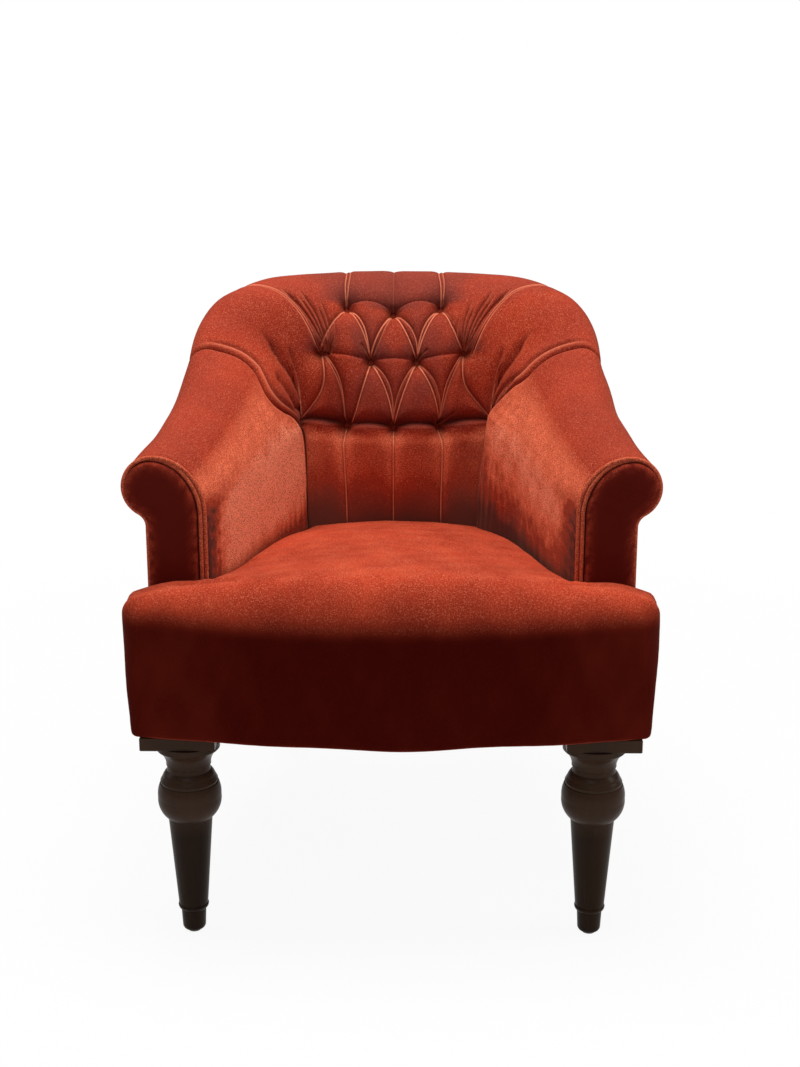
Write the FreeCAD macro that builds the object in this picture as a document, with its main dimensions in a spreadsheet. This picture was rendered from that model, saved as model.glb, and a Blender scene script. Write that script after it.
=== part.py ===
import FreeCAD, Part
import math
import os
import Sketcher
from FreeCAD import Vector

# Tub lounge chair, millimetres. The seat faces -Y, +Z is up, +X is the sitter's left as seen
# from the front. The origin is on the floor, below the middle of the chair.
os.makedirs("parts", exist_ok=True)
doc = FreeCAD.newDocument("LoungeChair")
sheet = doc.addObject("Spreadsheet::Sheet", "Sizes")

SIZES = {
    # plan and heights of the shell
    "arm_front": 262,
    "roll_back": 295.5,
    "arm_axis_rise": 322.5,
    "crest_axis_rise": 505.5,
    "arm_roll_radius": 42,
    "crest_roll_radius": 45,
    "crease_back": 190,
    "crease_rise": 151,
    "tuck_depth": 20,
    "stem_stand": 11,
    "lip_radius": 20,
    # upholstery
    "pad_thick": 32,
    "seam_dip": 12,
    "button_depth": 24,
    "button_radius": 7,
    "button_thick": 4,
    "twine_radius": 0.9,
    "facing_thick": 10,
    "facing_round": 3,
    "welt_radius": 4,
    "panel_thick": 4,
    "wrap_gap": 0.4,
    "seat_gap": 0.8,
    "panel_ease": 1.2,
    "panel_stand": 2.5,
    "tuck_ease": 2.5,
    "cut_past": 2,
    # seat
    "seat_front": 389,
    "seat_half": 353,
    "seat_bow": 40,
    "seat_rise": 201,
    "seat_rear_rise": 161,
    "seat_crown": 22,
    "nose_radius": 62,
    "ear_round": 30,
    "front_draw": 5,
    "foam_height": 48,
    "foam_inset": 30,
    "insulator_thick": 4,
    # frame
    "frame_bottom": 299,
    "rail_height": 85,
    "rail_thick": 24,
    "post_thick": 24,
    "roll_rail_radius": 25.5,
    "front_pad_thick": 22,
    "front_rail_back": 304,
    "side_rail_rear": 140,
    "back_rail_back": 292,
    "back_post_front": 175,
    "back_post_back": 245,
    "tack_rail_thick": 20,
    "tack_rail_height": 40,
    "tack_rail_lift": 20,
    "back_tack_front": 232,
    "block_leg": 95,
    "block_height": 45,
    "strap_width": 24,
    "strap_thick": 1.5,
    "dust_thick": 1,
    "dowel_radius": 5,
    "dowel_length": 40,
    # springs
    "spring_wire_radius": 1.9,
    "spring_half_width": 24,
    "spring_pitch": 44,
    "clip_length": 24,
    "clip_thick": 2,
    # legs
    "leg_front": 312,
    "plinth_height": 18,
    "leg_radius": 43,
    "plinth_width": 100,
    "plinth_depth": 94,
    "plinth_shift": 9,
    "plinth_set_back": 8,
    "plinth_chamfer": 1.5,
    "rear_leg_back": 250,
    "rear_foot_back": 374.5,
    "rear_leg_width": 44,
    "rear_foot_width": 29,
    "glide_radius": 9,
    "glide_thick": 3,
    "bolt_radius": 4,
    "bolt_rise": 34,
    "bolt_drop": 32,
    "bolt_clearance": 0.3,
    "nut_radius": 7,
}
# Places and steps across the chair as shares of the seat's half width
ACROSS_SHARES = {
    "roll_across": 0.894334,
    "crease_across": 0.696884,
    "front_rail_half": 0.923513,
    "side_rail_front_across": 0.915014,
    "side_rail_rear_across": 0.770538,
    "back_rail_half": 0.524079,
    "leg_across": 0.777620,
    "rear_leg_across": 0.475921,
    "rear_foot_across": 0.594901,
    "strap_pitch": 0.215297,
}
# Heights that stand on the frame, and the leg's height below the plinth
HEIGHTS = {
    "arm_axis_height": "=frame_bottom + arm_axis_rise",
    "crest_axis_height": "=frame_bottom + crest_axis_rise",
    "crease_height": "=frame_bottom + crease_rise",
    "seat_top": "=frame_bottom + seat_rise",
    "seat_rear_height": "=frame_bottom + seat_rear_rise",
    "leg_height": "=frame_bottom - plinth_height",
}
CELLS = {alias: str(value) for alias, value in SIZES.items()}
CELLS.update({alias: "=seat_half * %s" % share for alias, share in ACROSS_SHARES.items()})
CELLS.update(HEIGHTS)
for row, (alias, content) in enumerate(CELLS.items(), start=1):
    sheet.set("A%d" % row, alias)
    sheet.setAlias("B%d" % row, alias)
    sheet.set("B%d" % row, content)
doc.recompute()


class Size:
    """A length with the sheet formula that gives it, so that sketches stay bound to the sheet."""

    def __init__(self, value, text):
        self.value = float(value)
        self.text = text

    def _join(self, other, sign, value):
        text = other.text if isinstance(other, Size) else repr(float(other))
        return Size(value, "(%s %s %s)" % (self.text, sign, text))

    def __add__(self, other):
        return self._join(other, "+", self.value + number(other))

    def __sub__(self, other):
        return self._join(other, "-", self.value - number(other))

    def __mul__(self, other):
        return self._join(other, "*", self.value * number(other))

    def __truediv__(self, other):
        return self._join(other, "/", self.value / number(other))

    def __neg__(self):
        return Size(-self.value, "(0 - %s)" % self.text)


def number(item):
    return item.value if isinstance(item, Size) else float(item)


def size(alias):
    return Size(sheet.get(alias), "Sizes." + alias)


def mm(alias):
    return float(sheet.get(alias))


ZERO = Size(0, "0")
NEAR = 1e-6
ROUGHLY = 1e-3
subparts = []


# Document helpers
def bind(item, prop, length):
    item.setExpression(prop, length.text)


def place(item, across=ZERO, back=ZERO, up=ZERO):
    item.Placement = FreeCAD.Placement(
        Vector(across.value, back.value, up.value), FreeCAD.Rotation())
    bind(item, "Placement.Base.x", across)
    bind(item, "Placement.Base.y", back)
    bind(item, "Placement.Base.z", up)
    return item


def keep(item, label):
    item.Label = label
    subparts.append(item)
    return item


def new_body(name):
    return doc.addObject("PartDesign::Body", name)


def flat_sketch(body, name, role, lift=None):
    sketch = body.newObject("Sketcher::SketchObject", name)
    support = [f for f in body.Origin.OriginFeatures if f.Role == role][0]
    sketch.AttachmentSupport = [(support, "")]
    sketch.MapMode = "FlatFace"
    if lift is not None:
        sketch.AttachmentOffset = FreeCAD.Placement(Vector(0, 0, lift.value), FreeCAD.Rotation())
        bind(sketch, "AttachmentOffset.Base.z", lift)
    return sketch


def arc_through(start, end, radius, side):
    """Arc of a given radius from start to end, its centre on the left for side 1, right for -1."""
    chord = end - start
    half = chord.Length / 2
    rise = math.sqrt(max(radius * radius - half * half, 0))
    normal = Vector(-chord.y, chord.x, 0).normalize()
    centre = (start + end) * 0.5 + normal * rise * side
    middle = centre + ((start + end) * 0.5 - centre).normalize() * radius
    return Part.Arc(start, middle, end)


def outline(sketch, corners):
    """Closed outline. Each corner is (x, y) or (x, y, radius, side) for an arc to the next one."""
    points = [Vector(number(c[0]), number(c[1]), 0) for c in corners]
    count = len(corners)
    starts = []
    ends = []
    for i, corner in enumerate(corners):
        start, end = points[i], points[(i + 1) % count]
        if len(corner) == 2:
            sketch.addGeometry(Part.LineSegment(start, end), False)
            starts.append(1)
            ends.append(2)
        else:
            sketch.addGeometry(arc_through(start, end, number(corner[2]), corner[3]), False)
            near_start = (sketch.getPoint(i, 1) - start).Length < (sketch.getPoint(i, 2) - start).Length
            starts.append(1 if near_start else 2)
            ends.append(2 if near_start else 1)
    for i in range(count):
        j = (i + 1) % count
        sketch.addConstraint(Sketcher.Constraint("Coincident", i, ends[i], j, starts[j]))
    for i, corner in enumerate(corners):
        for kind, item, axis in (("DistanceX", corner[0], -2), ("DistanceY", corner[1], -1)):
            if abs(number(item)) < NEAR:
                sketch.addConstraint(Sketcher.Constraint("PointOnObject", i, starts[i], axis))
            else:
                index = sketch.addConstraint(
                    Sketcher.Constraint(kind, -1, 1, i, starts[i], number(item)))
                bind(sketch, "Constraints[%d]" % index, item)
        if len(corner) == 4:
            index = sketch.addConstraint(Sketcher.Constraint("Radius", i, number(corner[2])))
            bind(sketch, "Constraints[%d]" % index, corner[2])
    return sketch


def plan_board(name, corners, bottom, height):
    """A board sawn to a plan outline and stood at a height; y is measured back from the seat front."""
    body = new_body(name)
    sketch = outline(flat_sketch(body, name + "_plan", "XY_Plane"), corners)
    pad = body.newObject("PartDesign::Pad", name + "_pad")
    pad.Profile = sketch
    pad.Length = height.value
    bind(pad, "Length", height)
    place(body, ZERO, -size("seat_front"), bottom)
    return body


def mirrored(source, label):
    twin = doc.addObject("Part::Mirroring", label)
    twin.Source = source
    twin.Normal = Vector(1, 0, 0)
    twin.Base = Vector(0, 0, 0)
    return keep(twin, label)


def pair(item, stem):
    keep(item, stem + "_right")
    mirrored(item, stem + "_left")
    return item


def from_front(alias_or_size, behind=False):
    """A place along Y in the boards' own plan, which starts at the seat front."""
    length = size(alias_or_size) if isinstance(alias_or_size, str) else alias_or_size
    return size("seat_front") + length if behind else size("seat_front") - length


# Shell: stations from the arm front round to the middle of the back, on the +X side.
# Crease across and back, roll across, back and height, lean, and where the shoulder begins.
STATION_SHARES = {
    "arm_front": (1.000, 0.000, 1.000, 0.000, 0.000, 0.00, 0.63),
    "arm_fore": (0.935, 0.160, 0.960, 0.130, 0.063, 0.00, 0.62),
    "arm_middle": (0.862, 0.341, 0.919, 0.273, 0.150, 0.00, 0.58),
    "arm_rear": (0.793, 0.518, 0.892, 0.398, 0.260, 0.02, 0.54),
    "arm_rise": (0.715, 0.690, 0.881, 0.497, 0.380, 0.04, 0.50),
    "arm_end": (0.646, 0.841, 0.874, 0.569, 0.478, 0.07, 0.485),
    "arm_seam": (0.594, 0.960, 0.871, 0.621, 0.560, 0.09, 0.475),
    "wing": (0.573, 0.984, 0.846, 0.716, 0.740, 0.09, 0.47),
    "wing_rear": (0.553, 0.996, 0.792, 0.807, 0.861, 0.05, 0.50),
    "back_seam": (0.455, 1.000, 0.716, 0.889, 0.921, -0.09, 0.51),
    "crest_outer": (0.386, 1.000, 0.621, 0.940, 0.964, -0.33, 0.48),
    "crest": (0.313, 1.000, 0.462, 0.976, 0.981, -0.49, 0.43),
    "crest_inner": (0.155, 1.000, 0.228, 0.994, 0.997, -0.55, 0.38),
    "middle": (0.000, 1.000, 0.000, 1.000, 1.000, -0.55, 0.375),
}
STATION_NAMES = list(STATION_SHARES)
LIP_ANGLE = math.acos(
    (mm("stem_stand") + mm("lip_radius")) / (mm("arm_roll_radius") + mm("lip_radius")))


class Station:
    """A vertical plane across the shell, from the seat crease out through the axis of the roll."""

    def __init__(self, shares, side=1):
        across, back, roll_across, roll_back, rise, lean, shoulder = shares
        crease_run = mm("crease_back") + mm("arm_front")
        roll_run = mm("roll_back") + mm("arm_front")
        self.crease = Vector(side * mm("crease_across") * across,
                             crease_run * back - mm("arm_front"), 0)
        self.axis = Vector(side * mm("roll_across") * roll_across,
                           roll_run * roll_back - mm("arm_front"), 0)
        self.axis_height = mm("arm_axis_height") + rise * (
            mm("crest_axis_height") - mm("arm_axis_height"))
        self.radius = mm("arm_roll_radius") + rise * (
            mm("crest_roll_radius") - mm("arm_roll_radius"))
        out = self.axis - self.crease
        self.reach = out.Length
        self.out = out.normalize()
        self.lean = lean * mm("crest_roll_radius")
        self.shoulder = mm("crease_height") + shoulder * (
            self.axis_height + self.radius - mm("crease_height"))
        self.floor = mm("crease_height") - mm("tuck_depth")

    def at(self, out, up):
        return self.crease + self.out * out + Vector(0, 0, up)

    def roll(self, degrees, radius):
        angle = math.radians(degrees)
        return self.at(self.reach + radius * math.cos(angle),
                       self.axis_height + radius * math.sin(angle))

    def face(self, height, depth=0.0):
        """Point of the inside face at a height, set back into the pad by a depth."""
        if height <= self.shoulder:
            share = (height - self.floor) / (self.shoulder - self.floor)
            return self.at(self.lean * share + depth, height)
        wide = self.reach - self.lean
        tall = self.axis_height + self.radius - self.shoulder
        rise = min((height - self.shoulder) / tall, 1.0)
        flat = math.sqrt(1 - rise * rise)
        normal = Vector(-flat / wide, rise / tall, 0).normalize()
        return self.at(self.reach - wide * flat - depth * normal.x,
                       height - depth * normal.y)

    def shoulder_height(self, share):
        """Height on the inside face at a share of the quarter turn from shoulder to top."""
        return self.shoulder + math.sin(share * math.pi / 2) * (
            self.axis_height + self.radius - self.shoulder)


def station(name, side=1):
    return Station(STATION_SHARES[name], side)


def station_between(first, second, share, side=1):
    pairs = zip(STATION_SHARES[first], STATION_SHARES[second])
    return Station([a + (b - a) * share for a, b in pairs], side)


def curve(start, middle, end):
    """Arc through three points, or a line where they are in line."""
    chord = end - start
    if (middle - start).cross(chord).Length < ROUGHLY * chord.Length * chord.Length:
        return Part.LineSegment(start, end).toShape()
    return Part.Arc(start, middle, end).toShape()


def line(start, end):
    return Part.LineSegment(start, end).toShape()


def roll_edges(st):
    """From the top of the roll round its outside, under its lip and back round the rail."""
    hollow = mm("roll_rail_radius") + mm("wrap_gap")
    lip = math.degrees(LIP_ANGLE)
    lip_centre = st.at(st.reach + mm("stem_stand") + mm("lip_radius"),
                       st.axis_height - (st.radius + mm("lip_radius")) * math.sin(LIP_ANGLE))
    lip_start = st.roll(-lip, st.radius)
    lip_end = st.at(st.reach + mm("stem_stand"), lip_centre.z)
    towards = (st.out * -1 + Vector(0, 0, math.tan(math.pi / 12))).normalize()
    lip_middle = lip_centre + towards * mm("lip_radius")
    lip_inner = st.at(st.reach + mm("stem_stand") - mm("panel_thick"), lip_centre.z)
    back_foot = st.at(mm("pad_thick"), st.floor)
    face_foot = st.at(0, st.floor)
    return [
        curve(st.roll(90, st.radius), st.roll(45, st.radius), st.roll(0, st.radius)),
        curve(st.roll(0, st.radius), st.roll(-lip / 2, st.radius), lip_start),
        curve(lip_start, lip_middle, lip_end),
        line(lip_end, lip_inner),
        line(lip_inner, st.roll(-lip, hollow)),
        curve(st.roll(-lip, hollow), st.roll((90 - lip) / 2, hollow), st.roll(90, hollow)),
        curve(st.roll(90, hollow), st.roll(145, hollow), st.roll(200, hollow)),
        line(st.roll(200, hollow), back_foot),
        line(back_foot, face_foot),
    ]


def arm_section(st, dip=0.0):
    """Closed section of an arm pad, its shoulder drawn in by a dip at the sewn seam."""
    foot = st.at(0, st.floor)
    shoulder = st.face(st.shoulder)
    middle = st.face(st.shoulder_height(0.5), dip)
    top = st.roll(90, st.radius)
    return Part.Wire([line(foot, shoulder), curve(shoulder, middle, top)] + roll_edges(st))


def solid_loft(wires, ruled):
    shape = Part.makeLoft(wires, True, ruled)
    return shape


def plain_feature_item(name, shape):
    item = doc.addObject("Part::Feature", name)
    item.Shape = shape
    item.Placement = FreeCAD.Placement()
    return item


def plain_feature(label, shape):
    return keep(plain_feature_item(label, shape), label)


# Arm pads and the rails inside the roll
def arm_pad_shape():
    names = STATION_NAMES[:STATION_NAMES.index("arm_seam")]
    wires = [arm_section(station(name)) for name in names]
    wires.append(arm_section(station("arm_seam"), mm("seam_dip")))
    return solid_loft(wires, False)


def round_wire(st):
    radius = mm("roll_rail_radius")
    return Part.Wire([
        curve(st.roll(turn, radius), st.roll(turn - 45, radius), st.roll(turn - 90, radius))
        for turn in (90, 0, -90, -180)])


def arm_rail_shape():
    names = STATION_NAMES[:STATION_NAMES.index("arm_seam") + 1]
    return solid_loft([round_wire(station(name)) for name in names], False)


# Inside back: heights of the two pleat lines and their depths at each section.
# Row three of buttons is the lowest; the pleats zigzag between the rows.
ROW_HEIGHT_SHARES = {"low": 0.406, "mid": 0.686, "high": 0.868}


def row_height(row):
    top = mm("crest_axis_height") + mm("crest_roll_radius")
    return mm("crease_height") + ROW_HEIGHT_SHARES[row] * (top - mm("crease_height"))


# Each section: station shares between two neighbours, lower and upper pleat as shares of the
# climb from low to mid row and from mid to high row, and their depths as shares of full depth.
BACK_SECTION_SHARES = [
    ("arm_seam", "wing", 0.0, 0.03, 0.10, 0.35, 0.55),
    ("wing", "wing_rear", 0.0, 0.10, 0.25, 0.35, 0.00),
    ("wing_rear", "back_seam", 0.0, 0.40, 0.60, 0.45, 0.10),
    ("back_seam", "crest_outer", 0.0, 0.90, 0.15, 1.00, 1.00),
    ("crest_outer", "crest", 0.4, 0.00, 0.50, 1.00, 0.70),
    ("crest", "crest_inner", 0.38, 0.50, 1.00, 0.70, 1.00),
    ("crest_inner", "middle", 0.0, 0.90, 0.15, 1.00, 1.00),
    ("middle", "middle", 0.0, 0.00, 1.00, 1.00, 1.00),
]
# Buttons on the +X side, row by row: where each column stands between two stations
BUTTON_SHARES = [
    ("low", "middle", "middle", 0.0),
    ("low", "crest_outer", "crest", 0.4),
    ("low", "wing", "wing_rear", 0.0),
    ("mid", "crest_inner", "middle", 0.0),
    ("mid", "back_seam", "crest_outer", 0.0),
    ("high", "middle", "middle", 0.0),
    ("high", "crest", "crest_inner", 0.38),
]
PUFF_SHARE = 0.4


def puff_depth(first, second, span, full):
    """Depth of the puff between two pleats: never fuller than its span allows."""
    return max(full, (first + second) / 2 - span * PUFF_SHARE)


def back_section(row, side):
    """Closed section of the tufted back: channel, diamond and top panel between the pleats."""
    first, second, share, lower, upper, lower_depth, upper_depth = row
    st = station_between(first, second, share, side)
    low, mid, high = row_height("low"), row_height("mid"), row_height("high")
    lower_height = low + lower * (mid - low)
    upper_height = mid + upper * (high - mid)
    depth_one, depth_two = lower_depth * mm("button_depth"), upper_depth * mm("button_depth")
    foot = st.at(0, st.floor)
    pleat_one = st.face(lower_height, depth_one)
    pleat_two = st.face(upper_height, depth_two)
    top = st.roll(90, st.radius)
    channel_depth = puff_depth(0, depth_one, lower_height - st.floor, 0)
    channel_middle = st.face((st.floor + lower_height) / 2, channel_depth)
    diamond_depth = puff_depth(depth_one, depth_two, upper_height - lower_height, 0)
    diamond_middle = st.face((lower_height + upper_height) / 2, diamond_depth)
    top_height = st.axis_height + st.radius
    top_depth = puff_depth(depth_two, 0, top_height - upper_height, 0)
    top_middle = st.face((upper_height + top_height) / 2, top_depth)
    edges = [
        curve(foot, channel_middle, pleat_one),
        curve(pleat_one, diamond_middle, pleat_two),
        curve(pleat_two, top_middle, top),
    ]
    return Part.Wire(edges + roll_edges(st))


def round_the_back(section_of):
    """The back's sections in order, from the +X seam round to the -X seam."""
    return ([section_of(row, 1) for row in BACK_SECTION_SHARES]
            + [section_of(row, -1) for row in reversed(BACK_SECTION_SHARES[:-1])])


def back_pad_blank():
    return solid_loft(round_the_back(back_section), True)


def crest_rail_shape():
    """Round rail under the top of the back, straight between one section and the next."""
    rings = round_the_back(lambda row, side: round_wire(station_between(*row[:3], side)))
    lengths = [solid_loft([first, second], True) for first, second in zip(rings, rings[1:])]
    return lengths[0].multiFuse(lengths[1:])


def button_places():
    """Where each button sits: the point of its pleat and the way it faces, row by row."""
    places = []
    for row, first, second, share in BUTTON_SHARES:
        for side in ((1,) if first == second else (1, -1)):
            st = station_between(first, second, share, side)
            seat = st.face(row_height(row), mm("button_depth"))
            front = st.face(row_height(row), 0)
            places.append((seat, (front - seat).normalize()))
    return places


def button_group(shape_of):
    return Part.Compound([shape_of(seat, out) for seat, out in button_places()])


def twine(seat, out, radius):
    """Cord from a button back through the padding to the webbing behind it."""
    length = mm("button_depth") * 2
    return Part.makeCylinder(radius, length, seat - out * length, out)


def covered_button(seat, out):
    """Domed button, its back resting on the floor of its dimple."""
    disc = Part.makeCylinder(mm("button_radius"), mm("button_thick"), seat, out)
    edges = [e for e in disc.Edges if e.BoundBox.DiagonalLength > mm("button_radius")
             and (e.CenterOfMass - seat).dot(out) > mm("button_thick") / 2]
    return disc.makeFillet(mm("button_thick") * 0.6, edges)


def twine_bores():
    return button_group(lambda seat, out: twine(seat, out, mm("twine_radius") + mm("seat_gap")))


def back_pad_shape():
    recess = button_group(lambda seat, out: Part.makeCylinder(
        mm("button_radius") + mm("seat_gap"), mm("button_depth") * 2, seat, out))
    return back_pad_blank().cut(recess).cut(twine_bores())


# Arm facings, their welts and the posts behind them
def keyhole(inset, bottom, y):
    """Closed outline of the arm front drawn in by an inset, standing in a plane across Y."""
    st = station("arm_front")
    radius = st.radius - inset
    stem_out = st.reach + mm("stem_stand") - inset
    lip = mm("lip_radius") + inset
    angle = math.acos((mm("stem_stand") + mm("lip_radius")) / (radius + lip))
    degrees = math.degrees(angle)
    lip_up = st.axis_height - (radius + lip) * math.sin(angle)
    lip_centre = st.at(stem_out + lip, lip_up)
    towards = (st.out * -1 + Vector(0, 0, math.tan(math.pi / 12))).normalize()
    shoulder = st.at(inset, st.shoulder)
    diagonal = st.face(st.shoulder_height(0.5), inset)
    top = st.roll(90, radius)
    edges = [
        line(st.at(inset, bottom), shoulder),
        curve(shoulder, diagonal, top),
        curve(top, st.roll(45, radius), st.roll(0, radius)),
        curve(st.roll(0, radius), st.roll(-degrees / 2, radius), st.roll(-degrees, radius)),
        curve(st.roll(-degrees, radius), lip_centre + towards * lip, st.at(stem_out, lip_up)),
        line(st.at(stem_out, lip_up), st.at(stem_out, bottom)),
    ]
    shift = Vector(0, y + mm("arm_front"), 0)
    for edge in edges:
        edge.translate(shift)
    closing = line(st.at(stem_out, bottom) + shift, st.at(inset, bottom) + shift)
    return edges, closing


HEAD_SLOPE = 20


def facing_bottom():
    return mm("frame_bottom") + mm("rail_height")


def facing_shape():
    inset = mm("welt_radius") * 2
    edges, closing = keyhole(inset, facing_bottom(), -mm("arm_front"))
    plate = Part.Face(Part.Wire(edges + [closing])).extrude(Vector(0, -mm("facing_thick"), 0))
    front = -mm("arm_front") - mm("facing_thick")
    rims = [e for e in plate.Edges
            if abs(e.BoundBox.YMin - front) < ROUGHLY and abs(e.BoundBox.YMax - front) < ROUGHLY
            and e.BoundBox.ZMax > facing_bottom() + 1]
    return plate.makeFillet(mm("facing_round"), rims)


def welt_shape():
    radius = mm("welt_radius")
    edges, closing = keyhole(radius, facing_bottom(), -mm("arm_front") - radius)
    path = Part.Wire(edges)
    start = edges[0].Vertexes[0].Point
    circle = Part.Wire([Part.Circle(start, Vector(0, 0, 1), radius - mm("seat_gap") / 2).toShape()])
    return path.makePipeShell([circle], True, True)


def post_section(st):
    gap = mm("wrap_gap")
    inner = mm("pad_thick") + gap
    low = base_point(st)[0] - mm("panel_thick") - gap
    high = st.reach + mm("stem_stand") - mm("panel_thick") - gap
    bottom = facing_bottom()
    head = mm("roll_rail_radius")
    slope = math.radians(HEAD_SLOPE)
    low_side = st.at(st.reach - head * math.cos(slope), st.axis_height - head * math.sin(slope))
    return Part.makePolygon([
        st.at(inner, bottom), st.at(low, bottom), st.at(high, low_side.z), low_side,
        st.at(inner, bottom)])


def arm_post_shape(rail):
    """Front post inside the pad's hollow, its head hollowed to carry the round rail."""
    share = mm("post_thick") / (
        (mm("roll_back") + mm("arm_front")) * STATION_SHARES["arm_fore"][3])
    sections = [post_section(station("arm_front")),
                post_section(station_between("arm_front", "arm_fore", share))]
    return under_rail(solid_loft(sections, True), rail).cut(dowel_room())


def under_rail(blank, rail):
    """The lowest piece of a post after a round rail has been cut out of it."""
    return min(blank.cut(rail).Solids, key=lambda s: s.BoundBox.ZMin)


# Outside panels, standing on the frame's plan outline
def base_outline():
    stand = mm("panel_thick") + mm("panel_stand")
    return [
        Vector(mm("side_rail_front_across") + stand, -mm("front_rail_back"), 0),
        Vector(mm("side_rail_rear_across") + stand, mm("side_rail_rear"), 0),
        Vector(mm("back_rail_half") + mm("rail_thick") / 2 + stand, mm("back_rail_back") + stand, 0),
        Vector(-mm("back_rail_half") * 2, mm("back_rail_back") + stand, 0),
    ]


def base_point(st):
    """Where the station's plane meets the outline of the base: how far out, and on which side."""
    corners = base_outline()
    best = None
    for index in range(len(corners) - 1):
        a, run = corners[index], corners[index + 1] - corners[index]
        cross = st.out.x * run.y - st.out.y * run.x
        if abs(cross) < NEAR:
            continue
        gap = a - st.crease
        along = (gap.x * run.y - gap.y * run.x) / cross
        share = (gap.x * st.out.y - gap.y * st.out.x) / cross
        if -NEAR <= share <= 1 + NEAR and along > 0 and (best is None or along < best[0]):
            best = along, index
    return best


def corner_share(first, second):
    """Share between two stations at which the plane passes through a corner of the base."""
    low, high = 0.0, 1.0
    start = base_point(station(first))[1]
    for _ in range(30):
        middle = (low + high) / 2
        if base_point(station_between(first, second, middle))[1] == start:
            low = middle
        else:
            high = middle
    return low


def panel_rows():
    """Stations of the outside panels, with the two corners of the base put in."""
    rows = [(name, name, 0.0) for name in STATION_NAMES]
    for first, second in PANEL_CORNERS:
        rows.insert(rows.index((second, second, 0.0)), (first, second, corner_share(first, second)))
    return rows


def panel_section(row, side):
    foot = base_point(station_between(*row))[0]
    st = station_between(*row, side)
    head = st.reach + mm("stem_stand")
    top = (st.axis_height - (st.radius + mm("lip_radius")) * math.sin(LIP_ANGLE)
           - mm("panel_ease"))
    thick = mm("panel_thick")
    bottom = mm("frame_bottom")
    return Part.makePolygon([st.at(foot, bottom), st.at(head, top), st.at(head - thick, top),
                             st.at(foot - thick, bottom), st.at(foot, bottom)])


PANEL_SPLIT = ("wing_rear", "wing_rear", 0.0)
PANEL_CORNERS = [("wing", "wing_rear"), ("crest_outer", "crest")]


def outside_arm_shape():
    rows = panel_rows()
    return solid_loft([panel_section(row, 1) for row in rows[:rows.index(PANEL_SPLIT) + 1]], True)


def outside_back_shape():
    rows = panel_rows()
    rows = rows[rows.index(PANEL_SPLIT):]
    sections = [panel_section(row, 1) for row in rows]
    sections += [panel_section(row, -1) for row in reversed(rows[:-1])]
    return solid_loft(sections, True)


# Seat: crowned T shape with a bowed front, its ears standing before the arms
SEAT_SECTION_SHARES = [
    # across, set back of the front, height of the top, nose
    (1.000, 1.00, 0.62, 0.40),
    (0.985, 0.62, 0.80, 0.55),
    (0.955, 0.32, 0.92, 0.80),
    (0.910, 0.12, 0.985, 0.95),
    (0.820, 0.02, 1.00, 1.00),
    (0.620, 0.00, 1.00, 1.00),
    (0.320, 0.00, 1.00, 1.00),
    (0.000, 0.00, 1.00, 1.00),
]


def seat_front_at(across):
    share = across / mm("seat_half")
    return -mm("seat_front") + mm("seat_bow") * share * share


def seat_height(across, y):
    """Height of the seat's top: it falls towards the back and is crowned across."""
    reach = mm("crease_back") + mm("seat_front")
    back = min(max((y + mm("seat_front")) / reach, 0), 1)
    edge = mm("seat_top") + (mm("seat_rear_height") - mm("seat_top")) * back ** 1.4
    half = mm("crease_across") * (1 - 0.4 * back)
    over = max(1 - (across / half) ** 2, 0)
    return edge + mm("seat_crown") * over * (1 - back ** 3)


LEAN_SHARE = 0.36


def seat_section(shares, side):
    across_share, setback, rise, nose = shares
    x = mm("seat_half") * across_share
    front = seat_front_at(x) + mm("ear_round") * setback
    bottom = mm("frame_bottom")
    tall = seat_height(x, front + mm("nose_radius")) - bottom
    top = bottom + tall * rise
    radius = mm("nose_radius") * nose
    rear = mm("crease_back")
    middle = (front + radius + rear) / 2
    drop = (1 - rise) * tall
    rear_top = seat_height(x, rear) - drop
    at = lambda y, z: Vector(side * x, y, z)
    foot = at(front + mm("front_draw"), bottom)
    wall = at(front, top - radius)
    wall_middle = at(front + mm("front_draw") * 0.2, (bottom + top - radius) / 2)
    turn = math.pi / 4
    nose_middle = at(front + radius * (1 - math.cos(turn)), top - radius * (1 - math.sin(turn)))
    crest = at(front + radius, top)
    return Part.Wire([
        curve(foot, wall_middle, wall),
        curve(wall, nose_middle, crest),
        curve(crest, at(middle, seat_height(x, middle) - drop), at(rear, rear_top)),
        line(at(rear, rear_top), at(rear, bottom)),
        line(at(rear, bottom), foot),
    ])


def tucked(name, gap):
    """The seat's edge at a station: it keeps clear of the back pad, which leans over it."""
    st = station(name)
    if STATION_NAMES.index(name) > STATION_NAMES.index("arm_seam"):
        gap += mm("tuck_ease") - min(st.lean, 0) * LEAN_SHARE
    return st.crease - st.out * gap


def prism(right, bottom, height):
    """Upright prism on a plan given by its +X half, from the front round to the back."""
    ring = right + [Vector(-p.x, p.y, 0) for p in reversed(right) if p.x > NEAR]
    return Part.Face(Part.makePolygon([p + Vector(0, 0, bottom) for p in ring + ring[:1]])).extrude(
        Vector(0, 0, height))


def seat_plan(gap, bottom, height):
    """Prism of the seat's plan: ears before the arms, then the horseshoe between the pads."""
    ear_back = -mm("arm_front") - mm("facing_thick") - gap
    half = mm("seat_half") + mm("seat_bow")
    front = -mm("seat_front") - mm("cut_past")
    right = [Vector(half, front, 0), Vector(half, ear_back, 0),
             Vector(mm("crease_across") - gap, ear_back, 0)]
    right += [tucked(name, gap) for name in STATION_NAMES]
    low_ears = [Vector(half, front, 0), Vector(half, -mm("arm_front") - gap, 0)]
    return prism(right, bottom, height).fuse(
        prism(low_ears, bottom, facing_bottom() - gap - bottom))


def deck_height():
    return facing_bottom() + (mm("clip_thick") + mm("spring_wire_radius")) * 2


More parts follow.
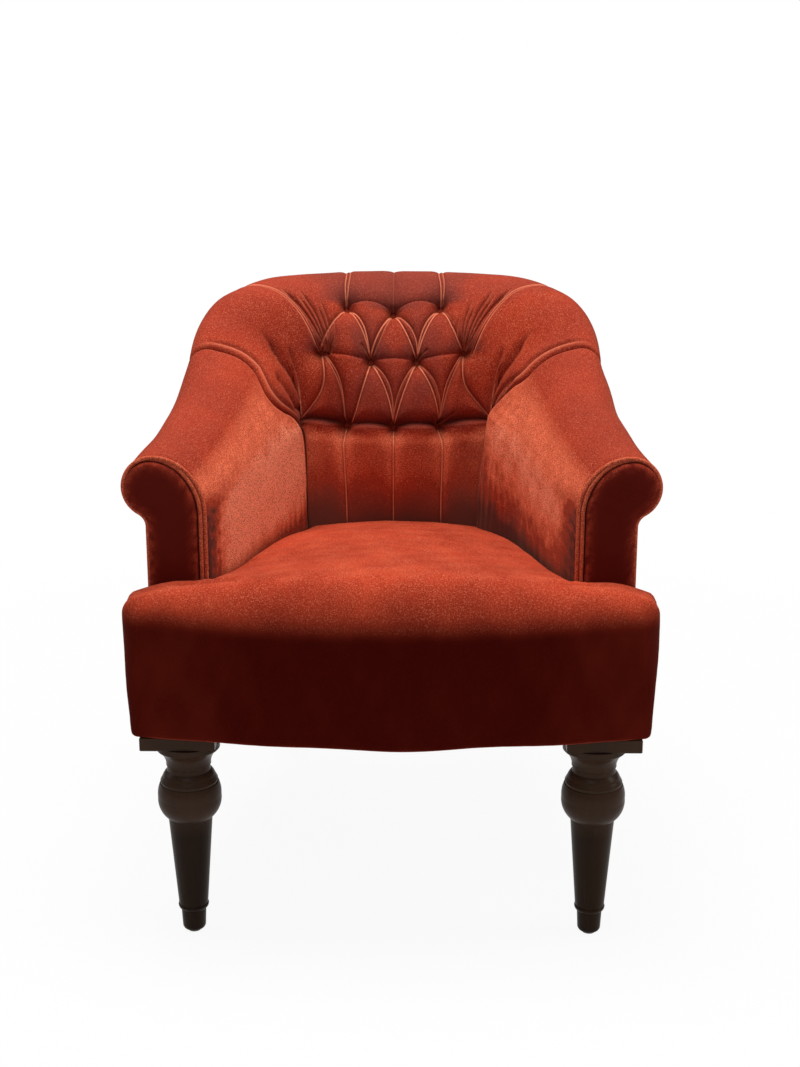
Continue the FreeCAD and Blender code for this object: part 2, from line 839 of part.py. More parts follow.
def front_cavity():
    """Room inside the seat for the frame, legs' blocks and springs."""
    gap = mm("seat_gap")
    half = mm("front_rail_half") + gap
    start = front_rail_outer() - gap
    bow = front_rail_bow()
    bottom = mm("frame_bottom") - mm("cut_past")
    rear = mm("back_rail_back")
    edges = [
        curve(Vector(-half, start + bow, bottom), Vector(0, start, bottom),
              Vector(half, start + bow, bottom)),
        line(Vector(half, start + bow, bottom), Vector(half, rear, bottom)),
        line(Vector(half, rear, bottom), Vector(-half, rear, bottom)),
        line(Vector(-half, rear, bottom), Vector(-half, start + bow, bottom)),
    ]
    height = deck_height() + mm("insulator_thick") + gap - bottom
    return Part.Face(Part.Wire(edges)).extrude(Vector(0, 0, height))


def foam_prism(grow, bottom, height):
    inset = mm("foam_inset") - grow
    front = front_rail_outer() + mm("rail_thick") - grow
    rear = mm("crease_back") - inset
    names = STATION_NAMES[:STATION_NAMES.index("arm_seam")]
    right = [Vector(mm("crease_across") - inset, front, 0)]
    right += [station(name).crease - station(name).out * inset for name in names]
    right.append(Vector(station("wing").crease.x - inset, rear, 0))
    return prism(right, bottom, height)


def seat_pad_shape():
    wires = [seat_section(shares, 1) for shares in SEAT_SECTION_SHARES]
    wires += [seat_section(shares, -1) for shares in reversed(SEAT_SECTION_SHARES[:-1])]
    crown = solid_loft(wires, True)
    bottom = mm("frame_bottom")
    body = crown.common(seat_plan(mm("seat_gap"), bottom - mm("cut_past"), mm("seat_top")))
    foam_floor = deck_height() + mm("insulator_thick")
    room = foam_prism(mm("seat_gap"), foam_floor, mm("foam_height") + mm("seat_gap"))
    return body.cut(front_cavity()).cut(room)


# Base frame
def front_rail_outer():
    return -mm("seat_front") + mm("front_pad_thick")


def front_rail_bow():
    share = mm("front_rail_half") / mm("seat_half")
    return mm("seat_bow") * share * share


# Legs
LEG_PROFILE_SHARES = [
    # radius, and height above the glide; a third number is an arc's radius to the next point,
    # as a share of the leg's radius, and the fourth the side of its centre
    (0.29, 0.0, 0.16, 1),
    (0.37, 0.0205),
    (0.40, 0.1115, 0.14, 1),
    (0.486, 0.1297, 0.07, 1),
    (0.465, 0.1408),
    (0.686, 0.5856),
    (0.700, 0.6078, 0.80, 1),
    (1.000, 0.719, 0.90, 1),
    (0.925, 0.7885),
    (0.895, 0.7915),
    (0.905, 0.8035),
    (0.855, 0.8185),
    (0.835, 0.8235, 0.50, 1),
    (0.690, 0.8570),
    (0.670, 0.8787),
    (0.705, 0.8848),
    (0.705, 0.8989, 0.62, -1),
    (0.960, 0.9646),
    (1.000, 0.9717),
    (1.000, 1.0),
]


def turned_leg():
    radius, tall = size("leg_radius"), size("leg_height")
    bore = size("bolt_radius") + size("bolt_clearance")
    foot = size("glide_thick")
    corners = [(ZERO, foot)]
    for item in LEG_PROFILE_SHARES:
        point = (radius * item[0], foot + (tall - foot) * item[1])
        corners.append(point if len(item) == 2 else point + (radius * item[2], item[3]))
    corners += [(bore, tall), (bore, tall - size("bolt_drop")), (ZERO, tall - size("bolt_drop"))]
    body = new_body("turned_leg")
    sketch = outline(flat_sketch(body, "turned_leg_profile", "XZ_Plane"), corners)
    turn = body.newObject("PartDesign::Revolution", "turned_leg_turning")
    turn.Profile = sketch
    turn.ReferenceAxis = (sketch, ["V_Axis"])
    turn.Angle = 360
    return place(body, size("leg_across"), -size("leg_front"), ZERO)


def plinth():
    body = new_body("plinth")
    half, shift = size("plinth_width") / 2, size("plinth_shift")
    front = size("plinth_set_back") - size("plinth_depth") / 2
    rear = size("plinth_set_back") + size("plinth_depth") / 2
    sketch = outline(flat_sketch(body, "plinth_plan", "XY_Plane"), [
        (shift - half, front), (shift + half, front), (shift + half, rear), (shift - half, rear)])
    pad = body.newObject("PartDesign::Pad", "plinth_pad")
    pad.Profile = sketch
    pad.Length = number(size("frame_bottom") - size("leg_height"))
    bind(pad, "Length", size("frame_bottom") - size("leg_height"))
    hole = flat_sketch(body, "plinth_bore_plan", "XY_Plane")
    radius = size("bolt_radius") + size("bolt_clearance")
    hole.addGeometry(Part.Circle(Vector(0, 0, 0), Vector(0, 0, 1), radius.value), False)
    hole.addConstraint(Sketcher.Constraint("Coincident", 0, 3, -1, 1))
    index = hole.addConstraint(Sketcher.Constraint("Radius", 0, radius.value))
    bind(hole, "Constraints[%d]" % index, radius)
    pocket = body.newObject("PartDesign::Pocket", "plinth_bore")
    pocket.Profile = hole
    pocket.Type = "ThroughAll"
    pocket.Reversed = True
    doc.recompute()
    faces = [i for i, f in enumerate(pocket.Shape.Faces, start=1)
             if abs(f.BoundBox.ZMax) < ROUGHLY and f.BoundBox.DiagonalLength > mm("plinth_width")]
    chamfer = body.newObject("PartDesign::Chamfer", "plinth_edges")
    chamfer.Base = (pocket, ["Face%d" % i for i in faces])
    chamfer.Size = mm("plinth_chamfer")
    bind(chamfer, "Size", size("plinth_chamfer"))
    return place(body, size("leg_across"), -size("leg_front"), size("leg_height"))


REAR_LEG_SHARES = [(0.0, 0.0), (0.35, 0.30), (0.70, 0.64), (1.0, 1.0)]


def rear_leg():
    """Square leg swept back: each section is a share of the way down and of the way out."""
    body = new_body("rear_leg_blank")
    tall = size("frame_bottom") - size("glide_thick")
    sections = []
    for i, (down, out) in enumerate(REAR_LEG_SHARES):
        across = size("rear_leg_across") + (size("rear_foot_across") - size("rear_leg_across")) * out
        back = size("rear_leg_back") + (size("rear_foot_back") - size("rear_leg_back")) * out
        half = (size("rear_leg_width") + (size("rear_foot_width") - size("rear_leg_width")) * down) / 2
        lift = size("frame_bottom") - tall * down
        sketch = flat_sketch(body, "rear_leg_section_%d" % i, "XY_Plane", lift)
        outline(sketch, [(across - half, back - half), (across + half, back - half),
                         (across + half, back + half), (across - half, back + half)])
        sections.append(sketch)
    loft = body.newObject("PartDesign::AdditiveLoft", "rear_leg_loft")
    loft.Profile = sections[0]
    loft.Sections = sections[1:]
    loft.Ruled = False
    return body


def upright(x, y, radius, bottom, height):
    return Part.makeCylinder(radius, height, Vector(x, y, bottom))


def bored(base, tool_shape, name):
    """The base piece with bores cut in it."""
    tool = doc.addObject("Part::Feature", name + "_bores")
    tool.Shape = tool_shape
    cut = doc.addObject("Part::Cut", name)
    cut.Base = base
    cut.Tool = tool
    return cut


def leg_bolt_points():
    front = (mm("leg_across"), -mm("leg_front"), mm("leg_height"))
    rear = (mm("rear_leg_across"), mm("rear_leg_back"), mm("frame_bottom"))
    return front, rear


def insert_length():
    return mm("bolt_rise") / 2


def bolt_room(grow_insert):
    """Bores in the frame over a leg: a wide one for the insert, a narrow one for the bolt."""
    clearance = mm("bolt_clearance")
    shapes = []
    for x, y, _ in leg_bolt_points():
        bottom = mm("frame_bottom") - mm("cut_past")
        narrow = upright(x, y, mm("bolt_radius") + clearance, bottom,
                         mm("bolt_rise") + mm("cut_past") * 2)
        wide = upright(x, y, mm("nut_radius") + grow_insert, bottom,
                       insert_length() + mm("cut_past") + clearance)
        shapes.append(narrow.fuse(wide))
    return shapes


def both_sides(shapes):
    """Copies on the two sides of the chair, as separate solids."""
    across = Vector(1, 0, 0)
    twins = [s.mirror(Vector(0, 0, 0), across) for s in shapes]
    return Part.Compound(list(shapes) + twins)


def leg_bolts():
    shapes = []
    for x, y, seat in leg_bolt_points():
        bottom = seat - mm("bolt_drop") + mm("bolt_clearance")
        top = mm("frame_bottom") + mm("bolt_rise")
        shapes.append(upright(x, y, mm("bolt_radius"), bottom, top - bottom))
    return both_sides(shapes)


def leg_inserts():
    shapes = []
    for x, y, _ in leg_bolt_points():
        ring = upright(x, y, mm("nut_radius"), mm("frame_bottom"), insert_length())
        bore = upright(x, y, mm("bolt_radius") + mm("bolt_clearance"), mm("frame_bottom"), insert_length())
        shapes.append(ring.cut(bore))
    return both_sides(shapes)


def foot_glides():
    feet = [(mm("leg_across"), -mm("leg_front")), (mm("rear_foot_across"), mm("rear_foot_back"))]
    return both_sides([upright(x, y, mm("glide_radius"), 0, mm("glide_thick")) for x, y in feet])


# Boards of the base; a mitred end is wider than the board's thickness by a share
MITRE_SHARE = 1.12
REAR_MITRE_SHARE = 1.2
CUT_CORNER_SHARE = 0.2


def across_at(start, end, y):
    """Across position on a line of the boards' plan at a place along Y."""
    return start[0] + (end[0] - start[0]) * ((y - start[1]) / (end[1] - start[1]))


def side_rail_corners():
    """Plan of the side rail: inner and outer front, then outer and inner rear."""
    front, rear = from_front("front_rail_back"), from_front("side_rail_rear", True)
    return [
        (size("side_rail_front_across") - size("rail_thick"), front),
        (size("side_rail_front_across"), front),
        (size("side_rail_rear_across"), rear),
        (size("side_rail_rear_across") - size("rail_thick") * MITRE_SHARE, rear),
    ]


def corner_rail_corners():
    """Plan of the rear corner rail, from its outer front corner round to its inner front one."""
    front, back = from_front("side_rail_rear", True), from_front("back_rail_back", True)
    outer_front = (size("side_rail_rear_across"), front)
    outer_rear = (size("back_rail_half") + size("rail_thick") / 2, back)
    cut_at = back - size("rail_thick") / 2
    return [
        outer_front,
        (across_at(outer_front, outer_rear, cut_at), cut_at),
        (size("back_rail_half") + size("rail_thick") * CUT_CORNER_SHARE, back),
        (size("back_rail_half"), back),
        (size("back_rail_half"), back - size("rail_thick") * REAR_MITRE_SHARE),
        (size("side_rail_rear_across") - size("rail_thick") * MITRE_SHARE, front),
    ]


def side_rail_faces(y):
    """Inner and outer face of the side rail at a place in the boards' plan."""
    inner_front, outer_front, outer_rear, inner_rear = side_rail_corners()
    return across_at(inner_front, inner_rear, y), across_at(outer_front, outer_rear, y)


def corner_rail_faces(y):
    """Inner and outer face of the rear corner rail at a place in the boards' plan."""
    outer_front, outer_rear, _, _, inner_rear, inner_front = corner_rail_corners()
    return across_at(inner_front, inner_rear, y), across_at(outer_front, outer_rear, y)


def front_rail():
    half = size("front_rail_half")
    share = half / size("seat_half")
    bow = size("seat_bow") * share * share
    radius = (half * half + bow * bow) / (bow * 2)
    ends = size("front_pad_thick") + bow
    rear = from_front("front_rail_back")
    corners = [(-half, ends, radius, 1), (half, ends), (half, rear), (-half, rear)]
    blank = plan_board("front_rail_blank", corners, size("frame_bottom"), size("rail_height"))
    room = bolt_room(mm("bolt_clearance"))[0]
    return keep(bored(blank, both_sides([room]), "front_rail"), "front_rail")


def side_rail():
    return plan_board("side_rail_blank", side_rail_corners(), size("frame_bottom"), size("rail_height"))


def back_rail():
    half = size("back_rail_half")
    back = size("back_rail_back") + size("seat_front")
    front = back - size("rail_thick")
    return keep(plan_board("back_rail", [(-half, front), (half, front), (half, back), (-half, back)],
                           size("frame_bottom"), size("rail_height")), "back_rail")


def front_block():
    """Glued block in the corner of front rail and side rail."""
    leg = size("block_leg")
    front = from_front("front_rail_back")
    corner = side_rail_faces(front)[0]
    rear = front + leg
    side = side_rail_faces(rear)[0]
    corners = [(corner - leg, front), (corner, front), (side, rear),
               (side - size("rail_thick") / 2, rear), (corner - leg, front + size("rail_thick"))]
    return plan_board("corner_block_front", corners, size("frame_bottom"), size("block_height"))


def rear_block():
    """Block in the corner of back rail and corner rail; the rear leg is bolted to it."""
    back = from_front("back_rail_back", True) - size("rail_thick")
    outer = size("back_rail_half")
    inner = outer - size("block_leg") + size("rail_thick")
    side_end = corner_rail_corners()[4]
    near_y = from_front("rear_leg_back", True) - size("rear_leg_width") * BLOCK_REACH_SHARE
    near = corner_rail_faces(near_y)[0]
    corners = [(inner, back), (outer, back), side_end, (near, near_y),
               (near - size("rail_thick"), near_y), (inner, back - size("rear_leg_width"))]
    return plan_board("corner_block_rear_blank", corners, size("frame_bottom"), size("block_height"))


BLOCK_REACH_SHARE = 1.3
POST_DOWEL_SHARES = (0.3, 0.8)
BACK_POST_SHARES = (0.22, 0.93)


def dowel_points():
    """Centres of the upright dowels: two under each front post, two under each back post."""
    y = from_front("arm_front").value + mm("post_thick") / 2
    inner, outer = side_rail_faces(Size(y, "0"))
    middle = (inner.value + outer.value) / 2
    gap = mm("dowel_radius") * 1.3
    points = [(middle - gap, y), (middle + gap, y)]
    for share in POST_DOWEL_SHARES:
        y = mm("seat_front") + mm("back_post_front") + share * (
            mm("back_post_back") - mm("back_post_front"))
        inner, outer = corner_rail_faces(Size(y, "0"))
        points.append(((inner.value + outer.value) / 2, y))
    return [(x, y - mm("seat_front")) for x, y in points]


def frame_dowels(radius, half_length):
    top = facing_bottom()
    return [upright(x, y, radius, top - half_length, half_length * 2) for x, y in dowel_points()]


def dowel_room():
    gap = mm("wrap_gap") / 4
    return Part.Compound(frame_dowels(mm("dowel_radius") + gap, mm("dowel_length") / 2 + gap))


def back_post_shape(rail):
    """Upright board on the corner rail, saddled to the round rail at its head."""
    bottom = facing_bottom()
    ring = []
    for alias in ("back_post_front", "back_post_back"):
        faces = corner_rail_faces(from_front(alias, True))
        across = [faces[0].value + (faces[1].value - faces[0].value) * share
                  for share in BACK_POST_SHARES]
        inner, outer = (Vector(x, mm(alias), bottom) for x in across)
        ring += [outer, inner] if ring else [inner, outer]
    height = station("back_seam").axis_height - bottom
    blank = Part.Face(Part.makePolygon(ring + ring[:1])).extrude(Vector(0, 0, height))
    return under_rail(blank, rail).cut(dowel_room())


def tack_rail_bottom():
    return size("frame_bottom") + size("rail_height") + size("tack_rail_lift")


def arm_tack_rail():
    """Rail between front post and back post, to which the bottom of the arm pad is tacked."""
    thick = size("tack_rail_thick")
    front = from_front("arm_front") + size("post_thick")
    rear = from_front("back_post_front", True)
    start = size("crease_across") + size("pad_thick") + size("seat_gap")
    end = corner_rail_faces(rear)[0]
    corners = [(start, front), (start + thick, front), (end + thick, rear), (end, rear)]
    return plan_board("arm_tack_rail", corners, tack_rail_bottom(), size("tack_rail_height"))


def back_tack_rail():
    """Rail between the two back posts, behind the foot of the back pad."""
    front = from_front("back_tack_front", True)
    rear = front + size("tack_rail_thick") * TACK_THIN_SHARE
    ends = [(corner_rail_faces(y)[0] - size("wrap_gap"), y) for y in (front, rear)]
    corners = [(-ends[0][0], front), ends[0], ends[1], (-ends[1][0], rear)]
    return keep(plan_board("back_tack_rail", corners, tack_rail_bottom(), size("tack_rail_height")),
                "back_tack_rail")


TACK_THIN_SHARE = 0.9
STRAP_PLACE_SHARES = [
    ("crest_inner", "crest", 0.22, 1),
    ("middle", "crest_inner", 0.7, 1),
    ("middle", "middle", 0.0, 1),
    ("middle", "crest_inner", 0.7, -1),
    ("crest_inner", "crest", 0.22, -1),
]
STRAP_ANGLE = 220


def back_webbing(rail):
    """Straps from the crest rail down to the tack rail, behind the back pad."""
    straps = []
    reach = mm("roll_rail_radius") + mm("wrap_gap") / 2
    top = tack_rail_bottom().value + mm("tack_rail_height")
    low = top - mm("tack_rail_height") / 2
    wide = mm("strap_width") / 2
    for shares in STRAP_PLACE_SHARES:
        st = station_between(*shares)
        head = st.roll(STRAP_ANGLE, reach)
        front = mm("back_tack_front") - mm("wrap_gap") - wide * abs(st.out.x)
        edge = st.at((front - st.crease.y) / st.out.y, top)
        foot = head + (edge - head) * ((head.z - low) / (head.z - top))
        across = st.out.cross(Vector(0, 0, 1))
        thick = st.out * mm("strap_thick")
        ring = [head, head - thick, foot - thick, foot]
        face = Part.Face(Part.makePolygon([p - across * wide for p in ring + ring[:1]]))
        straps.append(face.extrude(across * (wide * 2)))
    return Part.Compound(straps).cut(twine_bores()).cut(rail)


# Springs, their clips and the layers over them
SPRING_COLUMNS = (-2, -1, 0, 1, 2)
TAIL_SHARE = 2.4


def spring_height():
    return facing_bottom() + mm("clip_thick") + mm("spring_wire_radius")


def spring_path(x):
    """Flat serpentine wire from the front rail to the back rail: runs joined by half turns."""
    z = spring_height()
    radius = mm("spring_pitch") / 4
    half = mm("spring_half_width") - radius
    start = -mm("front_rail_back") - mm("clip_length")
    end = mm("back_rail_back") - mm("clip_thick")
    turns = int((end - start - mm("clip_length") * TAIL_SHARE) / (radius * 2)) // 2 * 2
    y = start + (end - start - turns * radius * 2) / 2
    bend = radius * (1 - math.sqrt(0.5))
    edges = [line(Vector(x, start, z), Vector(x, y - radius, z)),
             curve(Vector(x, y - radius, z), Vector(x + bend, y - bend, z), Vector(x + radius, y, z))]
    side = 1
    here = Vector(x + radius, y, z)
    for _ in range(turns):
        corner = Vector(x + side * half, y, z)
        if (corner - here).Length > NEAR:
            edges.append(line(here, corner))
        here = corner + Vector(0, radius * 2, 0)
        edges.append(curve(corner, corner + Vector(side * radius, radius, 0), here))
        y += radius * 2
        side = -side
    last = Vector(x + radius, y, z)
    edges.append(line(here, last))
    edges.append(curve(last, Vector(x + bend, y + bend, z), Vector(x, y + radius, z)))
    edges.append(line(Vector(x, y + radius, z), Vector(x, end, z)))
    return Part.Wire(edges), start


def spring_columns():
    step = mm("strap_pitch")
    return [column * step for column in SPRING_COLUMNS]


def seat_springs():
    springs = []
    for x in spring_columns():
        path, start = spring_path(x)
        ring = Part.Circle(Vector(x, start, spring_height()), Vector(0, 1, 0), mm("spring_wire_radius"))
        springs.append(path.makePipeShell([Part.Wire([ring.toShape()])], True, False))
    return Part.Compound(springs)


def spring_clips():
    """Clips nailed to the rails, one over each end of each spring."""
    clips = []
    length = mm("clip_length")
    wide = length * CLIP_WIDTH_SHARE
    tall = (mm("clip_thick") + mm("spring_wire_radius")) * 2
    bore = mm("spring_wire_radius") + mm("bolt_clearance")
    starts = (-mm("front_rail_back") - length * CLIP_SET_SHARES[0],
              mm("back_rail_back") - length * CLIP_SET_SHARES[1])
    for x in spring_columns():
        for y in starts:
            block = Part.makeBox(wide, length * CLIP_RUN_SHARE, tall,
                                 Vector(x - wide / 2, y, facing_bottom()))
            hole = Part.makeCylinder(bore, length * 2, Vector(x, y - length / 2, spring_height()),
                                     Vector(0, 1, 0))
            clips.append(block.cut(hole))
    return Part.Compound(clips)


CLIP_WIDTH_SHARE = 0.7
CLIP_RUN_SHARE = 0.6
CLIP_SET_SHARES = (0.9, 0.8)


def dust_cover_shape():
    """Thin cloth under the base, cut round the plinths and the rear legs."""
    gap = mm("clip_thick")
    hem = mm("rail_thick") / 2
    plinth_inner = mm("leg_across") + mm("plinth_shift") - mm("plinth_width") / 2 - gap
    plinth_rear = -mm("leg_front") + mm("plinth_set_back") + mm("plinth_depth") / 2 + gap
    leg_inner = mm("rear_leg_across") - mm("rear_leg_width") / 2 - gap
    leg_front = mm("rear_leg_back") - mm("rear_leg_width") / 2 - gap
    seat = mm("seat_front")
    side = side_rail_faces(Size(plinth_rear + seat, "0"))[1].value - hem
    corner = corner_rail_faces(Size(leg_front + seat, "0"))[1].value - hem
    right = [
        Vector(plinth_inner, -mm("front_rail_back") - mm("rail_thick"), 0),
        Vector(plinth_inner, plinth_rear, 0), Vector(side, plinth_rear, 0),
        Vector(mm("side_rail_rear_across") - hem, mm("side_rail_rear"), 0),
        Vector(corner, leg_front, 0), Vector(leg_inner, leg_front, 0),
        Vector(leg_inner, mm("back_rail_back") - hem, 0),
    ]
    return prism(right, mm("frame_bottom") - mm("dust_thick"), mm("dust_thick"))


# Assembly
pair(turned_leg(), "front_leg")
pair(plinth(), "front_plinth")
rear_bore = upright(mm("rear_leg_across"), mm("rear_leg_back"),
                    mm("bolt_radius") + mm("bolt_clearance"),
                    mm("frame_bottom") - mm("bolt_drop"), mm("bolt_drop") + mm("cut_past"))
pair(bored(rear_leg(), rear_bore, "rear_leg"), "rear_leg")
plain_feature("foot_glides", foot_glides())
plain_feature("leg_bolts", leg_bolts())
plain_feature("leg_inserts", leg_inserts())

front_rail()
pair(bored(side_rail(), dowel_room(), "side_rail"), "side_rail")
corner_blank = plan_board("rear_corner_rail_blank", corner_rail_corners(),
                          size("frame_bottom"), size("rail_height"))
pair(bored(corner_blank, dowel_room(), "rear_corner_rail"), "rear_corner_rail")
back_rail()
pair(front_block(), "corner_block_front")
pair(bored(rear_block(), bolt_room(mm("bolt_clearance"))[1], "corner_block_rear"), "corner_block_rear")
plain_feature("frame_dowels", both_sides(frame_dowels(mm("dowel_radius"), mm("dowel_length") / 2)))

crest_rail = crest_rail_shape()
plain_feature("crest_rail", crest_rail)
arm_rail = arm_rail_shape()
pair(plain_feature_item("arm_rail", arm_rail), "arm_rail")
pair(plain_feature_item("arm_post", arm_post_shape(arm_rail)), "arm_post")
pair(plain_feature_item("back_post", back_post_shape(crest_rail)), "back_post")
pair(arm_tack_rail(), "arm_tack_rail")
back_tack_rail()
plain_feature("back_webbing", back_webbing(crest_rail))

plain_feature("seat_springs", seat_springs())
plain_feature("spring_clips", spring_clips())
plain_feature("seat_insulator", foam_prism(0, deck_height(), mm("insulator_thick")))
plain_feature("seat_foam", foam_prism(0, deck_height() + mm("insulator_thick"), mm("foam_height")))
plain_feature("seat_pad", seat_pad_shape())

pair(plain_feature_item("arm_pad", arm_pad_shape()), "arm_pad")
plain_feature("back_pad", back_pad_shape())
plain_feature("back_buttons", button_group(covered_button))
plain_feature("button_twines", button_group(lambda seat, out: twine(seat, out, mm("twine_radius"))))
pair(plain_feature_item("arm_facing", facing_shape()), "arm_facing")
pair(plain_feature_item("arm_welt", welt_shape()), "arm_welt")
pair(plain_feature_item("outside_arm", outside_arm_shape()), "outside_arm")
plain_feature("outside_back", outside_back_shape())
plain_feature("dust_cover", dust_cover_shape())

doc.recompute()
for item in doc.Objects:
    if "Invalid" in item.State or "Error" in item.State:
        raise RuntimeError("%s failed: %s" % (item.Name, item.State))
unsound = [item.Label for item in subparts if item.Shape.isNull() or not item.Shape.isValid()]
if unsound:
    raise RuntimeError("no valid shape: " + ", ".join(unsound))
for item in subparts:
    item.Shape.exportStep("parts/%s.step" % item.Label)
    print("%-24s %2d solids %12.1f mm3" % (item.Label, len(item.Shape.Solids), item.Shape.Volume))
print("wrote %d sub-parts" % len(subparts))
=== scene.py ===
import bpy
import math
import numpy as np
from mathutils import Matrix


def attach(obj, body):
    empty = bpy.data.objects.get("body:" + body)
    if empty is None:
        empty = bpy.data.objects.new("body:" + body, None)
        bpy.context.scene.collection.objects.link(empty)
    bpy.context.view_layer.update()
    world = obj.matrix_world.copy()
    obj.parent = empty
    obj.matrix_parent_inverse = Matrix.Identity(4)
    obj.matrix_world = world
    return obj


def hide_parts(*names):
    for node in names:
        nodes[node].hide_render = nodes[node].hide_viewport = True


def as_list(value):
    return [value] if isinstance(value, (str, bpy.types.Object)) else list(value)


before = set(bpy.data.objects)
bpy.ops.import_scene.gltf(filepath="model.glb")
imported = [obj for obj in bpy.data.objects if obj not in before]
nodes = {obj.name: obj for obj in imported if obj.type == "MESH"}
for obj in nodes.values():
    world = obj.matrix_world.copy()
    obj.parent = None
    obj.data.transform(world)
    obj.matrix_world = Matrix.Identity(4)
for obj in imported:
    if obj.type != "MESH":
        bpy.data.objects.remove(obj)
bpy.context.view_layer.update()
quality = 1.0

# Stations of the horseshoe shell, as shares of the sizes below: crease across and back, roll across
# and back, rise, lean, shoulder, and last the tuft column that the station stands at
STATIONS = np.array([
    (1.000, 0.000, 1.000, 0.000, 0.000, 0.00, 0.630, 3.30),
    (0.935, 0.160, 0.960, 0.130, 0.063, 0.00, 0.620, 2.90),
    (0.862, 0.341, 0.919, 0.273, 0.150, 0.00, 0.580, 2.45),
    (0.793, 0.518, 0.892, 0.398, 0.260, 0.02, 0.540, 2.05),
    (0.715, 0.690, 0.881, 0.497, 0.380, 0.04, 0.500, 1.65),
    (0.646, 0.841, 0.874, 0.569, 0.478, 0.07, 0.485, 1.30),
    (0.594, 0.960, 0.871, 0.621, 0.560, 0.09, 0.475, 1.04),
    (0.573, 0.984, 0.846, 0.716, 0.740, 0.09, 0.470, 0.95),
    (0.553, 0.996, 0.792, 0.807, 0.861, 0.05, 0.500, 0.83),
    (0.455, 1.000, 0.716, 0.889, 0.921, -0.09, 0.510, 0.7125),
    (0.386, 1.000, 0.621, 0.940, 0.964, -0.33, 0.480, 0.60),
    (0.313, 1.000, 0.462, 0.976, 0.981, -0.49, 0.430, 0.475),
    (0.155, 1.000, 0.228, 0.994, 0.997, -0.55, 0.380, 0.2375),
    (0.000, 1.000, 0.000, 1.000, 1.000, -0.55, 0.375, 0.0),
])
CREASE_ACROSS, CREASE_BACK, ARM_FRONT = 0.246, 0.190, 0.262
ROLL_ACROSS, ROLL_BACK = 0.3157, 0.2955
ARM_AXIS, CREST_AXIS = 0.6215, 0.8045
ARM_ROLL, CREST_ROLL = 0.042, 0.045
CREASE_UP, FLOOR_UP = 0.450, 0.430
STEM, LIP, STEM_DROP, STEM_TUCK = 0.011, 0.020, 0.014, 0.004
LIP_TURN = math.radians(60)
# Columns of the arm's front end, the seam of arm and back, the outside panels' seam, the crest's seam
ARM_END, ARM_SEAM, PANEL_SEAM, CREST_SEAM = 3.3, 1.04, 0.83, 0.7125
# Row numbers: -0.3 floor, 0 crease, 1 low buttons, 2 mid, 3 high, 4 top, 5 lip, 5.4 stem, 5.7 end
ROWS = np.array([-0.3, 0.0, 1.0, 2.0, 3.0, 4.0, 5.0, 5.4, 5.7])
# Heights of the button rows, and the most each may be as a share of the face's height
BUTTON_ROWS = ((0.6122, 0.55), (0.7240, 0.80), (0.7968, 0.90))
# Points of a section's upright part, lip and stem; its shoulder and roll have twice as many
PART = 100
# Size of a step of one column and of one row, for the length of folds
COLUMN_SIZE, ROW_SIZE = 0.158, 0.09
SIDES = (("right", 1), ("left", -1))


# Curves and weights
def smooth(x):
    x = np.clip(x, 0, 1)
    return x * x * (3 - 2 * x)


def rise(x, start, width):
    """0 up to start, then smoothly to 1 over the width."""
    return smooth((x - start) / width)


def fall(x, start, width):
    """0 down to start, then smoothly to 1 over the width, for falling x."""
    return smooth((start - x) / width)


def bell(x, width):
    return np.exp(-(x / width) ** 2)


def unit(vectors):
    return vectors / np.maximum(np.linalg.norm(vectors, axis=-1, keepdims=True), 1e-9)


def puff(distance, width):
    """1 in the valley to 0 at the crown of a round puff of that width."""
    x = 1 - np.clip(distance / width, 0, 1)
    return 1 - np.sqrt(np.maximum(1 - x * x, 0))


def noise_field(points, scale, seed):
    """Smooth wandering values in space, a sum of seeded waves."""
    local = np.random.default_rng(seed)
    total = np.zeros(len(points))
    for octave in range(2):
        for _ in range(6):
            direction = local.normal(size=3)
            direction *= 2 * math.pi / scale * (1.9 ** octave) / np.linalg.norm(direction)
            total += np.sin(points @ direction + local.uniform(0, 6.28)) / (1.7 ** octave)
    return total / 6


def spline(x, y):
    """Natural cubic spline through the rows of y, as a function of x that is held at its ends."""
    n = len(x)
    h = np.diff(x)
    a = np.zeros((n, n))
    b = np.zeros((n,) + y.shape[1:])
    a[0, 0] = a[-1, -1] = 1
    for i in range(1, n - 1):
        a[i, i - 1], a[i, i], a[i, i + 1] = h[i - 1], 2 * (h[i - 1] + h[i]), h[i]
        b[i] = 6 * ((y[i + 1] - y[i]) / h[i] - (y[i] - y[i - 1]) / h[i - 1])
    curve = np.linalg.solve(a, b)

    def at(place):
        place = np.clip(place, x[0], x[-1])
        i = np.clip(np.searchsorted(x, place) - 1, 0, n - 2)
        step = (x[i + 1] - x[i])[:, None]
        p, q = (x[i + 1] - place)[:, None] / step, (place - x[i])[:, None] / step
        return (p * y[i] + q * y[i + 1]
                + ((p ** 3 - p) * curve[i] + (q ** 3 - q) * curve[i + 1]) * step * step / 6)
    return at


def path_length(*steps):
    """Length along a path from its first point, given the coordinates of its points."""
    return np.concatenate([[0], np.cumsum(np.hypot(*(np.diff(s) for s in steps)))])


def spaced(start, end, step):
    return np.linspace(start, end, max(int(abs(end - start) / step) + 1, 2))


